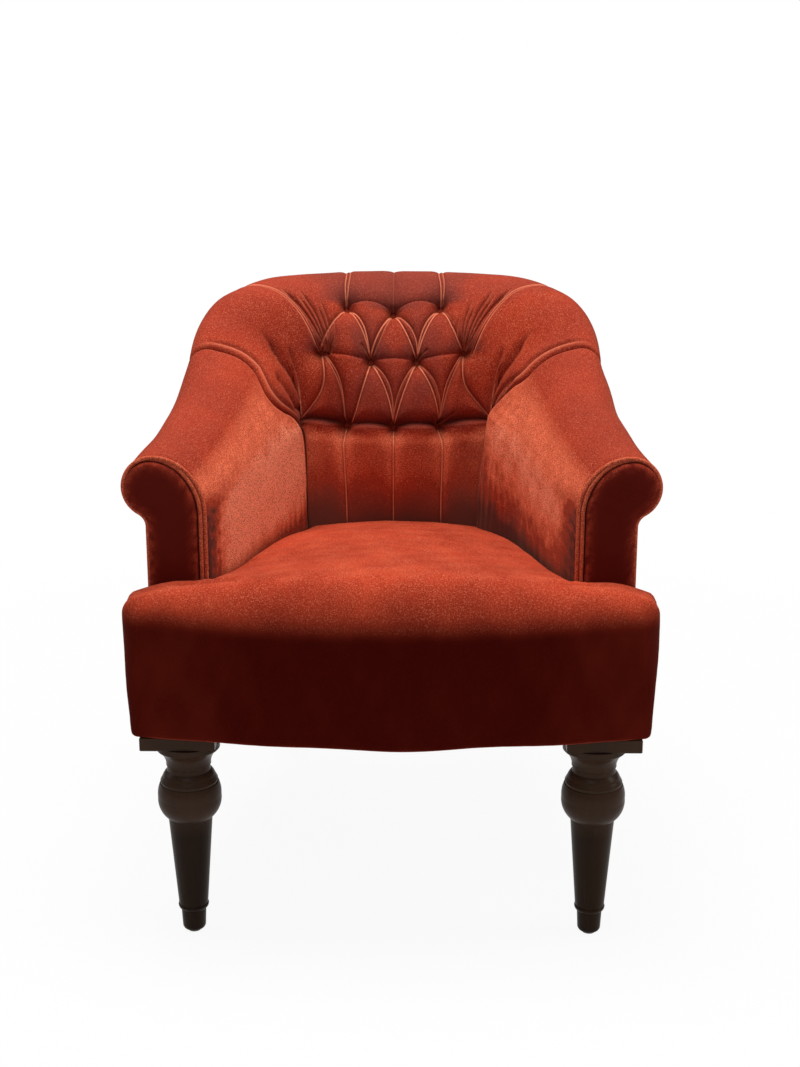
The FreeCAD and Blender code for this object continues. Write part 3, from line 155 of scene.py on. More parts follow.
# Shell: columns run from +3.3 at one arm front to -3.3 at the other
mirrored = STATIONS[-2::-1].copy()
mirrored[:, [0, 2, 7]] *= -1
ALL_STATIONS = np.vstack([STATIONS, mirrored])
roll_line = np.stack([ALL_STATIONS[:, 2] * ROLL_ACROSS, ALL_STATIONS[:, 3] * (ROLL_BACK + ARM_FRONT),
                      ALL_STATIONS[:, 4] * (CREST_AXIS - ARM_AXIS)], 1)
STATION_RUN = np.concatenate([[0], np.cumsum(np.linalg.norm(np.diff(roll_line, axis=0), axis=1))])
station_at = spline(STATION_RUN, ALL_STATIONS)
DENSE_RUN = np.linspace(0, STATION_RUN[-1], 4000)
DENSE_COLUMN = np.interp(DENSE_RUN, STATION_RUN, ALL_STATIONS[:, 7])


def run_at(column):
    """Length along the roll at a column."""
    return np.interp(-np.asarray(column, float), -DENSE_COLUMN, DENSE_RUN)


def column_at(run):
    return np.interp(run, DENSE_RUN, DENSE_COLUMN)


def runs_between(start, end, step):
    ends = sorted((float(run_at(start)), float(run_at(end))))
    return spaced(ends[0], ends[1], step)


def sections(run):
    """For each run: plan of the crease, outward direction, and its path as (out, up) points."""
    run = np.atleast_1d(np.asarray(run, float))
    r = station_at(run)
    crease = np.stack([CREASE_ACROSS * r[:, 0], (CREASE_BACK + ARM_FRONT) * r[:, 1] - ARM_FRONT], 1)
    axis = np.stack([ROLL_ACROSS * r[:, 2], (ROLL_BACK + ARM_FRONT) * r[:, 3] - ARM_FRONT], 1)
    axis_up = ARM_AXIS + r[:, 4] * (CREST_AXIS - ARM_AXIS)
    radius = ARM_ROLL + r[:, 4] * (CREST_ROLL - ARM_ROLL)
    out = axis - crease
    reach = np.linalg.norm(out, axis=1)
    out = out / reach[:, None]
    lean = r[:, 5] * CREST_ROLL
    shoulder = CREASE_UP + r[:, 6] * (axis_up + radius - CREASE_UP)
    lip_up = axis_up - (radius + LIP) * math.sin(LIP_TURN)
    line = np.linspace(0, 1, PART, endpoint=False)[None]
    turn = np.linspace(0, math.pi / 2, 2 * PART, endpoint=False)[None]
    roll = np.linspace(math.pi / 2, -LIP_TURN, 2 * PART, endpoint=False)[None]
    lip = np.linspace(math.pi - LIP_TURN, math.pi, PART, endpoint=False)[None]
    stem = np.linspace(0, STEM_DROP, PART)[None]
    c = lambda v: v[:, None]
    wide, tall = reach - lean, axis_up + radius - shoulder
    outs = np.hstack([
        c(lean) * line, c(reach) - c(wide) * np.cos(turn), c(reach) + c(radius) * np.cos(roll),
        c(reach) + STEM + LIP + LIP * np.cos(lip), c(reach) + STEM - STEM_TUCK * stem / STEM_DROP])
    ups = np.hstack([
        FLOOR_UP + c(shoulder - FLOOR_UP) * line, c(shoulder) + c(tall) * np.sin(turn),
        c(axis_up) + c(radius) * np.sin(roll), c(lip_up) + LIP * np.sin(lip), c(lip_up) - stem])
    length = np.concatenate([np.zeros((len(run), 1)), np.cumsum(
        np.hypot(np.diff(outs, axis=1), np.diff(ups, axis=1)), axis=1)], axis=1)
    marks = [row_marks(*at) for at in zip(length, ups, axis_up + radius)]
    return dict(crease=crease, out=out, outs=outs, ups=ups, length=length, marks=np.array(marks),
                reach=reach, axis_up=axis_up, lip_up=lip_up)


def row_marks(length, ups, top):
    """Path lengths of the rows at one section."""
    face = slice(0, 3 * PART)
    heights = [CREASE_UP] + [min(h, CREASE_UP + share * (top - CREASE_UP)) for h, share in BUTTON_ROWS]
    return ([0.0] + [float(np.interp(h, ups[face], length[face])) for h in heights]
            + [length[3 * PART], length[5 * PART], length[6 * PART], length[-1]])


def on_section(s, i, rows):
    """Points at the rows of section i."""
    q = np.interp(rows, ROWS, s["marks"][i])
    o = np.interp(q, s["length"][i], s["outs"][i])
    up = np.interp(q, s["length"][i], s["ups"][i])
    return np.column_stack([s["crease"][i] + np.outer(o, s["out"][i]), up])


def shell_points(columns, rows):
    s = sections(run_at(columns))
    return np.vstack([on_section(s, i, [row]) for i, row in enumerate(rows)])


def grid_normals(points):
    return unit(np.cross(np.gradient(points, axis=1), np.gradient(points, axis=0)))


def steady_normals(points, out):
    """Grid normals, taken within each upright section where the tight corners crowd the columns."""
    climb = np.gradient(points, axis=1)
    plain = np.empty_like(points)
    plain[:, :, :2] = -climb[:, :, 2][:, :, None] * out[:, None, :]
    plain[:, :, 2] = (climb[:, :, :2] * out[:, None, :]).sum(2)
    plain, full = unit(plain), grid_normals(points)
    share = smooth(((full * plain).sum(2, keepdims=True) + 0.05) / 0.25)
    return unit(plain + (full - plain) * share)


# How far the seam between arm and back leans towards the arm front at each row, by side
LEAN_ROWS = np.array([0.9, 1.3, 1.7, 2.2, 2.8, 3.4, 4.0, 4.65, 5.3])
LEAN = {-1: np.array([[0, 20, 47, 54, 45, 32, 19, -11, 0]]).T * 0.001,
        1: np.array([[0, 0, 14, 29, 34, 28, 15, -11, 0]]).T * 0.001}
LEAN_ON_ARM, LEAN_ON_BACK = 0.17, 0.075


def leaned(base, whole, run, rows):
    """The grid's points on runs that lean with the arm seams."""
    made = np.empty((len(run), len(rows), 3))
    lean = {side: spline(LEAN_ROWS, given)(rows)[:, 0] for side, given in LEAN.items()}
    for j in range(len(rows)):
        target = run.copy()
        for side in (1, -1):
            before = (run_at(side * ARM_SEAM) - run) * side
            near = smooth(1 - np.where(before > 0, before / LEAN_ON_ARM, -before / LEAN_ON_BACK))
            target -= side * near * lean[side][j]
        for k in range(3):
            made[:, j, k] = np.interp(target, whole, base[:, j, k])
    return made


def curve_points(pairs, count=60):
    """Smooth curve through (column, row) pairs, as base points in space and its own parameter."""
    pairs = np.array(pairs, float)
    x = path_length(pairs[:, 0] * COLUMN_SIZE, pairs[:, 1] * ROW_SIZE)
    if len(pairs) > 2:
        at = spline(x, pairs)(np.linspace(0, x[-1], count))
    else:
        share = np.linspace(0, 1, count)[:, None]
        at = pairs[0] + (pairs[1] - pairs[0]) * share
    return shell_points(at[:, 0], at[:, 1]), at


def distance_to(points, line, reach):
    """Distance to a line of points and the place along it from 0 to 1; inf beyond reach."""
    best = np.full(len(points), np.inf)
    place = np.zeros(len(points))
    low, high = line.min(0) - reach, line.max(0) + reach
    near = np.where(((points > low) & (points < high)).all(1))[0]
    p, b, t = points[near], best[near], place[near]
    for i in range(len(line) - 1):
        run = line[i + 1] - line[i]
        size = float(run @ run)
        if size < 1e-14:
            continue
        rel = p - line[i]
        share = np.clip(rel @ run / size, 0, 1)
        gap = rel - share[:, None] * run
        d = np.sqrt((gap * gap).sum(1))
        closer = d < b
        b = np.where(closer, d, b)
        t = np.where(closer, (i + share) / (len(line) - 1), t)
    best[near], place[near] = b, t
    return best, place


# Meshes
def new_mesh(name, points, faces, attributes=None):
    mesh = bpy.data.meshes.new(name)
    mesh.from_pydata([tuple(p) for p in points], [], faces)
    mesh.polygons.foreach_set("use_smooth", [True] * len(mesh.polygons))
    for key, values in (attributes or {}).items():
        layer = mesh.attributes.new(key, "FLOAT", "POINT")
        layer.data.foreach_set("value", np.asarray(values, dtype=np.float32))
    mesh.validate()
    mesh.update()
    item = bpy.data.objects.new(name, mesh)
    bpy.context.scene.collection.objects.link(item)
    return item


def ring_faces(n, m):
    """Quads of an n by m grid whose rows close on themselves, and its two end caps."""
    faces = [(i * m + j, (i + 1) * m + j, (i + 1) * m + (j + 1) % m, i * m + (j + 1) % m)
             for i in range(n - 1) for j in range(m)]
    return faces + [tuple(range(m)), tuple(reversed(range((n - 1) * m, n * m)))]


RAIL_HOLLOW, PAD_FOOT = 0.0259, 0.032


def inner_return(s, i):
    """Hidden back of a pad at one section: under the roll, round its rail, down to the foot."""
    crease, out = s["crease"][i], s["out"][i]
    at = lambda o, u: (crease[0] + o * out[0], crease[1] + o * out[1], u)
    reach, up = s["reach"][i], s["axis_up"][i]
    angles = [math.radians(degrees) for degrees in (-60, -10, 40, 90, 145, 200)]
    return ([at(reach + RAIL_HOLLOW * math.cos(a), up + RAIL_HOLLOW * math.sin(a)) for a in angles]
            + [at(PAD_FOOT, FLOOR_UP)])


def pad_object(name, run, rows, displace):
    """Closed pad over a range of the shell: displace gives the move along the normal."""
    beyond, step = 0.07, 0.002
    whole = np.concatenate([np.arange(run[0] - beyond, run[0], step), run,
                            np.arange(run[-1] + step, run[-1] + beyond, step)])
    whole = whole[(whole >= DENSE_RUN.min()) & (whole <= DENSE_RUN.max())]
    s = sections(whole)
    base = leaned(np.stack([on_section(s, i, rows) for i in range(len(whole))]), whole, run, rows)
    s = sections(run)
    normal = steady_normals(base, s["out"])
    n, m = base.shape[:2]
    flat, flat_normal = base.reshape(-1, 3), normal.reshape(-1, 3)
    move, shade = displace(flat, np.repeat(column_at(run), m), np.tile(rows, n))
    moved = (flat + flat_normal * move[:, None]).reshape(n, m, 3)
    back = np.array([inner_return(s, i) for i in range(n)])
    points = np.concatenate([moved, back], axis=1)
    total = points.shape[1]
    layers = {key: np.pad(values.reshape(n, m), ((0, 0), (0, total - m))).reshape(-1)
              for key, values in shade.items()}
    return new_mesh(name, points.reshape(-1, 3), ring_faces(n, total), layers)


# Tufted back: where each button sits, as (column, row)
HIGH_MID, HIGH_RIGHT, HIGH_LEFT = (-0.025, 2.98), (0.338, 3.10), (-0.378, 3.10)
MID_RIGHT, MID_LEFT = (0.220, 1.955), (-0.270, 1.955)
WIDE_RIGHT, WIDE_LEFT = (0.672, 2.07), (-0.7125, 2.07)
LOW_MID, LOW_RIGHT, LOW_LEFT = (-0.035, 1.0), (0.540, 1.0), (-0.610, 1.0)
END_RIGHT, END_LEFT = (0.95, 1.04), (-0.95, 1.04)
BUTTONS = [HIGH_MID, HIGH_RIGHT, HIGH_LEFT, MID_RIGHT, MID_LEFT, WIDE_RIGHT, WIDE_LEFT,
           LOW_MID, LOW_RIGHT, LOW_LEFT, END_RIGHT, END_LEFT]
# How deep a button draws the pad in, and the wide dish round it; the end buttons lie in the seam
DEEP, DISH, END_DEEP, END_DISH = 0.018, 0.0085, 0.007, 0.002
DEEP_WIDTH, DISH_WIDTH = 0.0046, 0.021

# Pleats from an upper to a lower button. The power says how soon a pleat runs across: over 1 it
# leaves the upper button sideways and drops steeply, under 1 it drops first. Each has a painted
# highlight of that strength along its rim; most are double, a fold between two highlighted rims
PLEATS = [
    (HIGH_MID, MID_RIGHT, 1.15, 1.0), (HIGH_MID, MID_RIGHT, 2.5, 0.8),
    (HIGH_MID, MID_LEFT, 1.45, 1.0), (HIGH_MID, MID_LEFT, 0.92, 0.5),
    (HIGH_LEFT, MID_LEFT, 4.3, 0.9), (HIGH_LEFT, MID_LEFT, 2.0, 0.8),
    (HIGH_RIGHT, MID_RIGHT, 2.9, 0.9), (HIGH_RIGHT, MID_RIGHT, 1.5, 0.9),
    (HIGH_LEFT, WIDE_LEFT, 1.5, 1.0),
    (HIGH_RIGHT, WIDE_RIGHT, 1.05, 1.0),
    (WIDE_LEFT, LOW_LEFT, 5.0, 0.9), (WIDE_LEFT, LOW_LEFT, 3.0, 0.6),
    (MID_LEFT, LOW_LEFT, 0.74, 1.0),
    (MID_LEFT, LOW_MID, 1.9, 1.0), (MID_LEFT, LOW_MID, 4.0, 0.7),
    (MID_RIGHT, LOW_MID, 1.2, 1.0), (MID_RIGHT, LOW_MID, 2.3, 0.6),
    (MID_RIGHT, LOW_RIGHT, 1.65, 1.0), (MID_RIGHT, LOW_RIGHT, 3.0, 0.6),
    (WIDE_RIGHT, LOW_RIGHT, 2.75, 0.8), (WIDE_RIGHT, LOW_RIGHT, 1.5, 0.5),
    (WIDE_LEFT, END_LEFT, -3.0, 0.9),
    (WIDE_RIGHT, END_RIGHT, -2.4, 0.8),
]
# Short folds that run into a button: start, button, depth
SHORT_FOLDS = [
    ((-0.335, 2.34), MID_LEFT, 0.0032), ((0.315, 2.22), MID_RIGHT, 0.0024),
    ((-0.62, 2.36), WIDE_LEFT, 0.0032), ((-0.075, 1.16), LOW_MID, 0.0028),
    ((0.435, 1.24), LOW_RIGHT, 0.0032), ((0.66, 1.26), LOW_RIGHT, 0.0036),
    ((-0.46, 1.10), LOW_LEFT, 0.0028), ((0.52, 2.66), HIGH_RIGHT, 0.0020),
]
# Valleys over the puffs between neighbours of a row: rise, depth, width above and below
ARCHES = [([HIGH_LEFT, HIGH_MID, HIGH_RIGHT], 0.13, 0.0042, 0.022, 0.006),
          ([WIDE_LEFT, MID_LEFT, MID_RIGHT, WIDE_RIGHT], 0.06, 0.0026, 0.016, 0.008),
          ([END_LEFT, LOW_LEFT, LOW_MID, LOW_RIGHT, END_RIGHT], 0.100, 0.0105, 0.028, 0.0075)]
# Upright channel lines: the low button and the column of the foot
CHANNELS = ((LOW_MID, -0.03), (LOW_RIGHT, 0.445), (LOW_LEFT, -0.495))
# Lines over the crest from the outer high buttons
CREST_LINES = ((HIGH_RIGHT, [(0.290, 3.5), (0.236, 3.88), (0.205, 4.6)]),
               (HIGH_LEFT, [(-0.334, 3.5), (-0.282, 3.87), (-0.250, 4.6)]))
# Folds fanned from the outer middle buttons along the seam: end, depth, painted highlight on the rim
FAN_FOLDS = [
    ((0.690, 3.62), 0.0060, 0.9), ((0.655, 3.34), 0.0050, 0.7), ((0.622, 3.46), 0.0045, 0.7),
    ((0.588, 3.12), 0.0045, 0.6), ((0.552, 3.22), 0.0038, 0.5), ((0.515, 2.90), 0.0030, 0.4),
]
# Folds that come down beside the lower seam to the end buttons: line, depth, width, painted rim
# highlight
SEAM_FOLDS = [([(0.970, 3.35), (1.005, 2.60), (1.010, 1.90), (0.980, 1.40)], 0.0120, 0.016, 0.80),
              ([(1.170, 2.45), (1.120, 1.75), (1.030, 1.35)], 0.0105, 0.022, 0.0),
              ([(0.900, 2.45), (0.925, 1.75), (0.940, 1.35)], 0.0065, 0.014, 0.40)]


def at_end(button):
    return abs(button[0]) > 0.9


def fold(pairs, depths, width, edge=0.0, below=None, near_ends=0.32):
    """A valley through (column, row) pairs: depth at start, middle and end, and its width."""
    return dict(pairs=pairs, depths=depths, width=width, edge=edge, below=below, near_ends=near_ends)


def pleat(top, bottom, power, edge):
    share = np.linspace(0, 1, 13)
    across = share ** -power if power < 0 else 1 - (1 - share) ** power
    path = [(top[0] + (bottom[0] - top[0]) * a, top[1] + (bottom[1] - top[1]) * f)
            for a, f in zip(across, share)]
    return fold(path, (0.015, 0.0058, 0.005 if at_end(bottom) else 0.017), 0.017, edge)


def arch(a, b, height, depth, width, below):
    """Valley over the top of the puff between two buttons of a row."""
    share = np.linspace(0, 1, 9)
    pairs = [(a[0] + (b[0] - a[0]) * f, a[1] + (b[1] - a[1]) * f + height * (4 * f * (1 - f)) ** 0.8)
             for f in share]
    ends = [0.0 if at_end(q) else 0.010 for q in (a, b)]
    return fold(pairs, (ends[0], depth, ends[1]), width, 0.0, below)


def channel_columns(button, foot):
    """Columns of a channel line at the foot, half way and at its button."""
    return foot, button[0] * 0.55 + foot * 0.45, button[0]


def back_folds():
    folds = [pleat(*row) for row in PLEATS]
    folds += [fold([start, button], (0.0, depth, 0.012), 0.008, 0.30)
              for start, button, depth in SHORT_FOLDS]
    for buttons, *form in ARCHES:
        folds += [arch(a, b, *form) for a, b in zip(buttons, buttons[1:])]
    for button, foot in CHANNELS:
        folds.append(fold([button, (channel_columns(button, foot)[1], 0.55), (foot, -0.05)],
                          (0.013, 0.0055, 0.004), 0.014, 1.0))
    for button, line in CREST_LINES:
        folds.append(fold([button] + line, (0.012, 0.0048, 0.0), 0.013, 0.6, None, 0.2))
        beside = [(button[0] + 0.008, button[1] + 0.04)] + [(c + 0.021, r) for c, r in line]
        folds.append(fold(beside, (0.010, 0.0034, 0.0), 0.009, 0.45, None, 0.2))
    folds.append(fold([HIGH_MID, (-0.02, 3.6), (-0.01, 4.7)], (0.012, 0.0036, 0.0), 0.022, 0.12,
                      None, 0.2))
    for side in (1, -1):
        start = (side * WIDE_RIGHT[0], WIDE_RIGHT[1])
        for end, depth, edge in FAN_FOLDS:
            bend = (side * (start[0] * side * 0.36 + end[0] * 0.64),
                    start[1] + (end[1] - start[1]) * 0.42)
            folds.append(fold([start, bend, (side * end[0], end[1])], (0.012, depth, 0.0), 0.0090,
                              0.6 * edge, None, 0.5))
        for line, depth, width, edge in SEAM_FOLDS:
            pairs = [(side * c, r) for c, r in line + [END_RIGHT]]
            edge *= 1.0 if side < 0 else 0.75
            folds.append(fold(pairs, (0.0, depth, 0.004), width, edge, None, 0.6))
    return folds


def back_displace(points, columns, rows):
    """Move along the normal, and the painted shade and painted light that go with it."""
    n = len(points)
    across = np.abs(columns)
    total, rim_and_painted_highlight, painted_crease_shade = np.zeros(n), np.zeros(n), np.zeros(n)
    for item in back_folds():
        line, at = curve_points(item["pairs"])
        d, t = distance_to(points, line, item["width"] * 1.6)
        start, middle, end = item["depths"]
        falling = np.where(t < 0.5, start, end)
        depth = falling + (middle - falling) * smooth((1 - np.abs(2 * t - 1)) / item["near_ends"])
        width = item["width"]
        if item["below"]:
            row_of_fold = np.interp(t, np.linspace(0, 1, len(at)), at[:, 1])
            width = np.where(rows < row_of_fold, item["below"], width)
        total += (depth * puff(d, width)) ** 3
        # painted highlight along the fold's rim, and painted shade in the crease beside it
        if item["edge"]:
            reach = np.minimum(d, 1)
            tapered = fall(t, 1, 0.18) * rise(t, 0, 0.05 if start else 0.6)
            rim_and_painted_highlight = np.maximum(rim_and_painted_highlight, item["edge"] * bell(reach, 0.0009) * tapered)
            painted_crease_shade = np.maximum(painted_crease_shade, item["edge"] * bell(reach - 0.0020, 0.0013) * tapered)
    dish, pile_mottle_and_painted_shade = np.zeros(n), np.zeros(n)
    for button in BUTTONS:
        away = np.minimum(np.linalg.norm(points - shell_points(*zip(button))[0], axis=1), 1)
        total += ((END_DEEP if at_end(button) else DEEP) * np.exp(-(away / DEEP_WIDTH) ** 1.5)) ** 3
        dish += (END_DISH if at_end(button) else DISH) * bell(away, DISH_WIDTH)
        # painted shade above each button and painted light below it
        above = smooth((rows - button[1]) / 0.16 + 0.2)
        pile_mottle_and_painted_shade += 0.52 * bell(away, 0.031) * above - 0.30 * bell(away, 0.024) * (1 - above)
    valley = total ** (1 / 3)
    # the crest's seam, and the seam to the arm with the roll beside it; painted highlights on their rims
    # and painted shade beside the arm seam
    run = run_at(columns)
    crest_gap = np.minimum(np.abs(run - run_at(CREST_SEAM)), np.abs(run - run_at(-CREST_SEAM)))
    above = rise(rows, 1.98, 0.2) * fall(rows, 5.45, 0.3)
    seam = (0.0040 + 0.006 * fall(rows, 2.9, 0.9)) * puff(crest_gap, 0.010) * above
    rim_and_painted_highlight = np.maximum(rim_and_painted_highlight, 0.58 * bell(crest_gap - 0.0022, 0.0013) * above)
    arm_gap = np.minimum(run - run_at(ARM_SEAM), run_at(-ARM_SEAM) - run)
    ends = (0.006 + 0.010 * fall(rows, 1.9, 0.5) * rise(rows, -0.4, 0.8)) * puff(arm_gap, 0.010)
    rolled = rise(rows, 1.15, 0.4) * fall(rows, 4.4, 0.8)
    beside = bell(arm_gap - 0.0115, 0.0026) * rolled
    rim_and_painted_highlight = np.maximum(rim_and_painted_highlight, 0.40 * bell(arm_gap - 0.0065, 0.0020) * rolled)
    painted_crease_shade = np.maximum(painted_crease_shade, beside)
    ends = np.maximum(ends, 0.0042 * beside)
    # full puffs between the valleys, channels under them, and the plain wings
    tufted = fall(across, 1.0, 0.25) * rise(rows, 0.2, 0.5) * fall(rows, 4.1, 0.8)
    swell = 0.0036 * tufted * (1 - np.clip(valley / 0.0045, 0, 1))
    channel = 0.0030 * fall(rows, 0.98, 0.12) * rise(rows, -0.1, 0.9) * fall(across, 0.93, 0.1)
    wing = rise(across, 0.74, 0.1) * rise(rows, 1.1, 0.8) * fall(rows, 4.6, 0.8)
    move = (swell + channel + 0.0012 * rim_and_painted_highlight + 0.003 * wing + 0.0009 * noise_field(points, 0.11, 3)
            - valley - dish - np.maximum(seam - valley * 0.5, 0) - np.maximum(ends - valley * 0.6, 0))
    # painted shade in the valleys, dimples and seams and in the corner beside each end button; painted
    # highlight kept off that corner, and a faint one low on the channels
    painted_groove_shade = np.clip((valley + 0.5 * dish + 0.8 * seam + 0.8 * ends) / 0.019, 0, 1)
    painted_groove_shade = np.maximum(painted_groove_shade, 0.62 * painted_crease_shade) * (1 - 0.75 * np.clip(rim_and_painted_highlight, 0, 1))
    corner = bell(across - 0.95, 0.10) * bell(rows - 1.06, 0.22)
    painted_groove_shade = np.maximum(painted_groove_shade, 0.9 * corner)
    rim_and_painted_highlight = np.maximum(rim_and_painted_highlight * (1 - corner), 0.08 * fall(rows, 1.0, 0.1))
    # painted light beside each channel line
    painted_channel_light = np.zeros(n)
    for button, foot in CHANNELS:
        middle = np.interp(rows, [-0.05, 0.55, 1.0], channel_columns(button, foot))
        painted_channel_light += np.exp(-(np.abs(columns - middle) / 0.075) ** 1.5)
    painted_channel_light *= fall(rows, 0.98, 0.1) * rise(rows, -0.1, 0.7)
    # painted light and shade: light beside the channel lines, on the wings and the middle diamond; shade
    # towards the seat, over the low row, up the crest, low beside the arm seams and round the buttons as
    # above; and some random pile tone
    pile_tone_and_painted_shading = (0.20 - 0.60 * painted_channel_light - (0.31 - 0.14 * rise(across, 0.5, 0.1)) * fall(rows, 1.0, 0.1)
           + 1.15 * fall(rows, 0.66, 0.66) + 0.25 * bell(rows - 1.10, 0.075)
           - 0.30 * bell(columns, 0.10) * bell(rows - 2.4, 0.3)
           + 0.18 * bell(columns + 0.33, 0.09) * bell(rows - 2.4, 0.25)
           + 0.12 * rise(rows, 2.9, 0.8) + 0.30 * rise(rows, 4.5, 0.5)
           + 0.10 * noise_field(points, 0.07, 21) - 0.16 * rise(across, 0.70, 0.08)
           + pile_mottle_and_painted_shade * fall(across, 0.93, 0.1)
           + 0.16 * fall(across, 0.50, 0.15) * rise(rows, 1.0, 0.4)
           + 0.35 * rise(across, 0.90, 0.1) * fall(rows, 2.2, 1.2) * rise(rows, 0.2, 0.5))
    # returned as painted shade in the grooves, painted highlights on the rims and painted light and
    # shade over the pad
    return move, {"painted_groove_shade": painted_groove_shade, "lip": rim_and_painted_highlight, "pile_tone_and_painted_shading": pile_tone_and_painted_shading}


# Steps of the grids; the back is fine up to that column on either side
FINE, MIDDLING, COARSE, ARM_STEP, PANEL_STEP = 0.00095, 0.0017, 0.003, 0.0028, 0.006
FINE_TO = 0.76


def face_rows(fine):
    """Rows of a section, fine on the inside face and coarser behind the roll."""
    marks = sections(run_at(0.0))["marks"][0]
    steps = (fine * 3, fine * 2, fine, fine, fine * 1.2, fine * 1.5, COARSE, COARSE)
    rows = []
    for i, step in enumerate(steps):
        count = max(int((marks[i + 1] - marks[i]) / step), 2)
        rows.extend(np.linspace(ROWS[i], ROWS[i + 1], count, endpoint=False))
    return np.array(rows + [ROWS[-1]])


back_ends = [float(run_at(c)) for c in (ARM_SEAM, FINE_TO, -FINE_TO, -ARM_SEAM)]
back_run = np.concatenate([spaced(back_ends[0], back_ends[1], MIDDLING * quality)[:-1],
                           spaced(back_ends[1], back_ends[2], FINE * quality),
                           spaced(back_ends[2], back_ends[3], MIDDLING * quality)[1:]])
back = pad_object("back_cushion", back_run, face_rows(FINE * quality), back_displace)

# Arms: how full the inside is at each row beside the seam, and the pulls that run along the seam
SWELL_ROWS = [-0.3, 0.0, 0.5, 1.0, 1.25, 1.55, 2.0]
ARM_SWELL = {1: (0, 0.019, 0.017, 0.010, 0.009, 0.002, 0), -1: (0, 0.007, 0.006, 0.004, 0.002, 0, 0)}
ARM_PULLS = (([(1.12, 0.8), (1.34, 1.6), (1.46, 2.6)], 0.0022),
             ([(1.20, 0.6), (1.44, 1.3), (1.58, 2.2)], 0.0015))


def arm_displace(side):
    def displace(points, columns, rows):
        run = run_at(columns)
        seam = np.abs(run - run_at(side * ARM_SEAM))
        front = np.abs(run - run_at(side * ARM_END))
        swell = np.interp(rows, SWELL_ROWS, ARM_SWELL[side])
        edge_depth = 0.003 + 0.003 * rise(rows, 1.2, 0.5)
        move = swell * smooth(1 - seam / 0.10) - edge_depth * puff(seam, 0.009)
        move -= 0.003 * puff(front, 0.007)
        # shallow waves and finer gathers where the inside is drawn down to the seat
        low = fall(rows, 0.75, 0.7) * rise(rows, -0.2, 0.3)
        waves = np.sin(run * 2 * math.pi / 0.037 + 2.2 * np.sin(run * 31)) * 0.5 + 0.5
        move -= 0.0012 * low * waves * (0.3 + 0.7 * np.sin(run * 23 + 1.1) ** 2)
        gathers = smooth(1 - seam / 0.11) * fall(rows, 1.05, 0.6) * rise(rows, -0.1, 0.3)
        streaks = np.sin(run * 2 * math.pi / 0.0125 + 3 * noise_field(points * [1, 1, 0.3], 0.05, 31))
        move -= 0.0009 * gathers * streaks
        for pull, depth in ARM_PULLS:
            line, _ = curve_points([(side * c, r) for c, r in pull], 30)
            d, t = distance_to(points, line, 0.02)
            move -= depth * puff(d, 0.010) * smooth(4 * t) * smooth(4 * (1 - t))
        move += 0.0011 * noise_field(points, 0.13, 5)
        # painted highlight along the seam's rim
        edge = 0.55 * bell(seam - 0.0018, 0.0014)
        # painted light over the inside, streaked along the gathers; painted shade over the roll, along
        # the seam, low down and in a strip behind the facing; the right arm takes more painted shade low
        # down, the left more painted light
        inside = rise(rows, 0.05, 0.4) * fall(rows, 3.3, 2.2)
        painted_sheen = 0.80 + 0.50 * fall(rows, 1.5, 0.6) + 0.5 * low * (waves - 0.6)
        pile_mottle_and_painted_shade = 0.92 + 0.25 * noise_field(points, 0.05, 6) + 0.22 * noise_field(points, 0.016, 8)
        pile_tone_and_painted_shading = (-painted_sheen * inside * pile_mottle_and_painted_shade
               + 0.5 * rise(rows, 4.35, 0.6) + 0.35 * fall(rows, 0.3, 0.3)
               - 0.12 * fall(rows, 1.6, 1.0) + 0.20 * rise(rows, 2.6, 1.2)
               + 0.45 * bell(seam, 0.022) * fall(rows, 2.6, 1.5) - 0.32 * gathers * streaks)
        if side < 0:
            pile_tone_and_painted_shading -= 0.28 * inside * fall(rows, 1.4, 0.5)
        else:
            pile_tone_and_painted_shading += 1.25 * fall(rows, 1.05, 0.75) + 0.30 * fall(seam, 0.16, 0.14) * fall(rows, 1.6, 0.8)
        painted_shade_band = bell(front, 0.062) * fall(rows, 1.9, 0.8) * (0.95 + 0.35 * noise_field(points, 0.02, 14))
        pile_tone_and_painted_shading = pile_tone_and_painted_shading * (1 - painted_shade_band) + (1.00 + 0.3 * noise_field(points, 0.012, 9)) * painted_shade_band
        # painted shade along the seam
        painted_groove_shade = np.clip(0.75 * puff(seam, 0.007) * rise(rows, 1.1, 0.3), 0, 1) * (1 - 0.6 * edge)
        return move, {"painted_groove_shade": painted_groove_shade, "lip": edge, "pile_tone_and_painted_shading": pile_tone_and_painted_shading}
    return displace


def arm_object(label, side):
    run = runs_between(side * ARM_END, side * ARM_SEAM, ARM_STEP * quality)
    return pad_object("arm_cushion_" + label, run, face_rows(COARSE), arm_displace(side))


arms = {label: arm_object(label, side) for label, side in SIDES}

# Seat: a field that is zero on its skin, negative inside
SEAT_FRONT, SEAT_HALF, SEAT_BOW = 0.389, 0.353, 0.040
SEAT_BOTTOM, NOSE, SIDE_NOSE = 0.299, 0.062, 0.015
EAR_REAR = -ARM_FRONT - 0.0105
BLOCK_HALF, BLOCK_TOP, BLOCK_VOXEL = 0.345, 0.492, 0.0032
# Height along the edge, height of the crown over it and half width, at places from front to back
SEAT_EDGE = np.array([
    (-0.400, 0.5020, 0.0210, 0.310), (-0.330, 0.5010, 0.0215, 0.290), (-0.272, 0.4965, 0.0225, 0.258),
    (-0.170, 0.4835, 0.0250, 0.2256), (-0.114, 0.4810, 0.0235, 0.2133), (-0.034, 0.4775, 0.0200, 0.1964),
    (0.047, 0.4700, 0.0165, 0.1766), (0.100, 0.4620, 0.0145, 0.1640), (0.143, 0.4555, 0.0120, 0.1530),
    (0.174, 0.4520, 0.0105, 0.1456), (0.210, 0.4505, 0.0100, 0.1400),
])
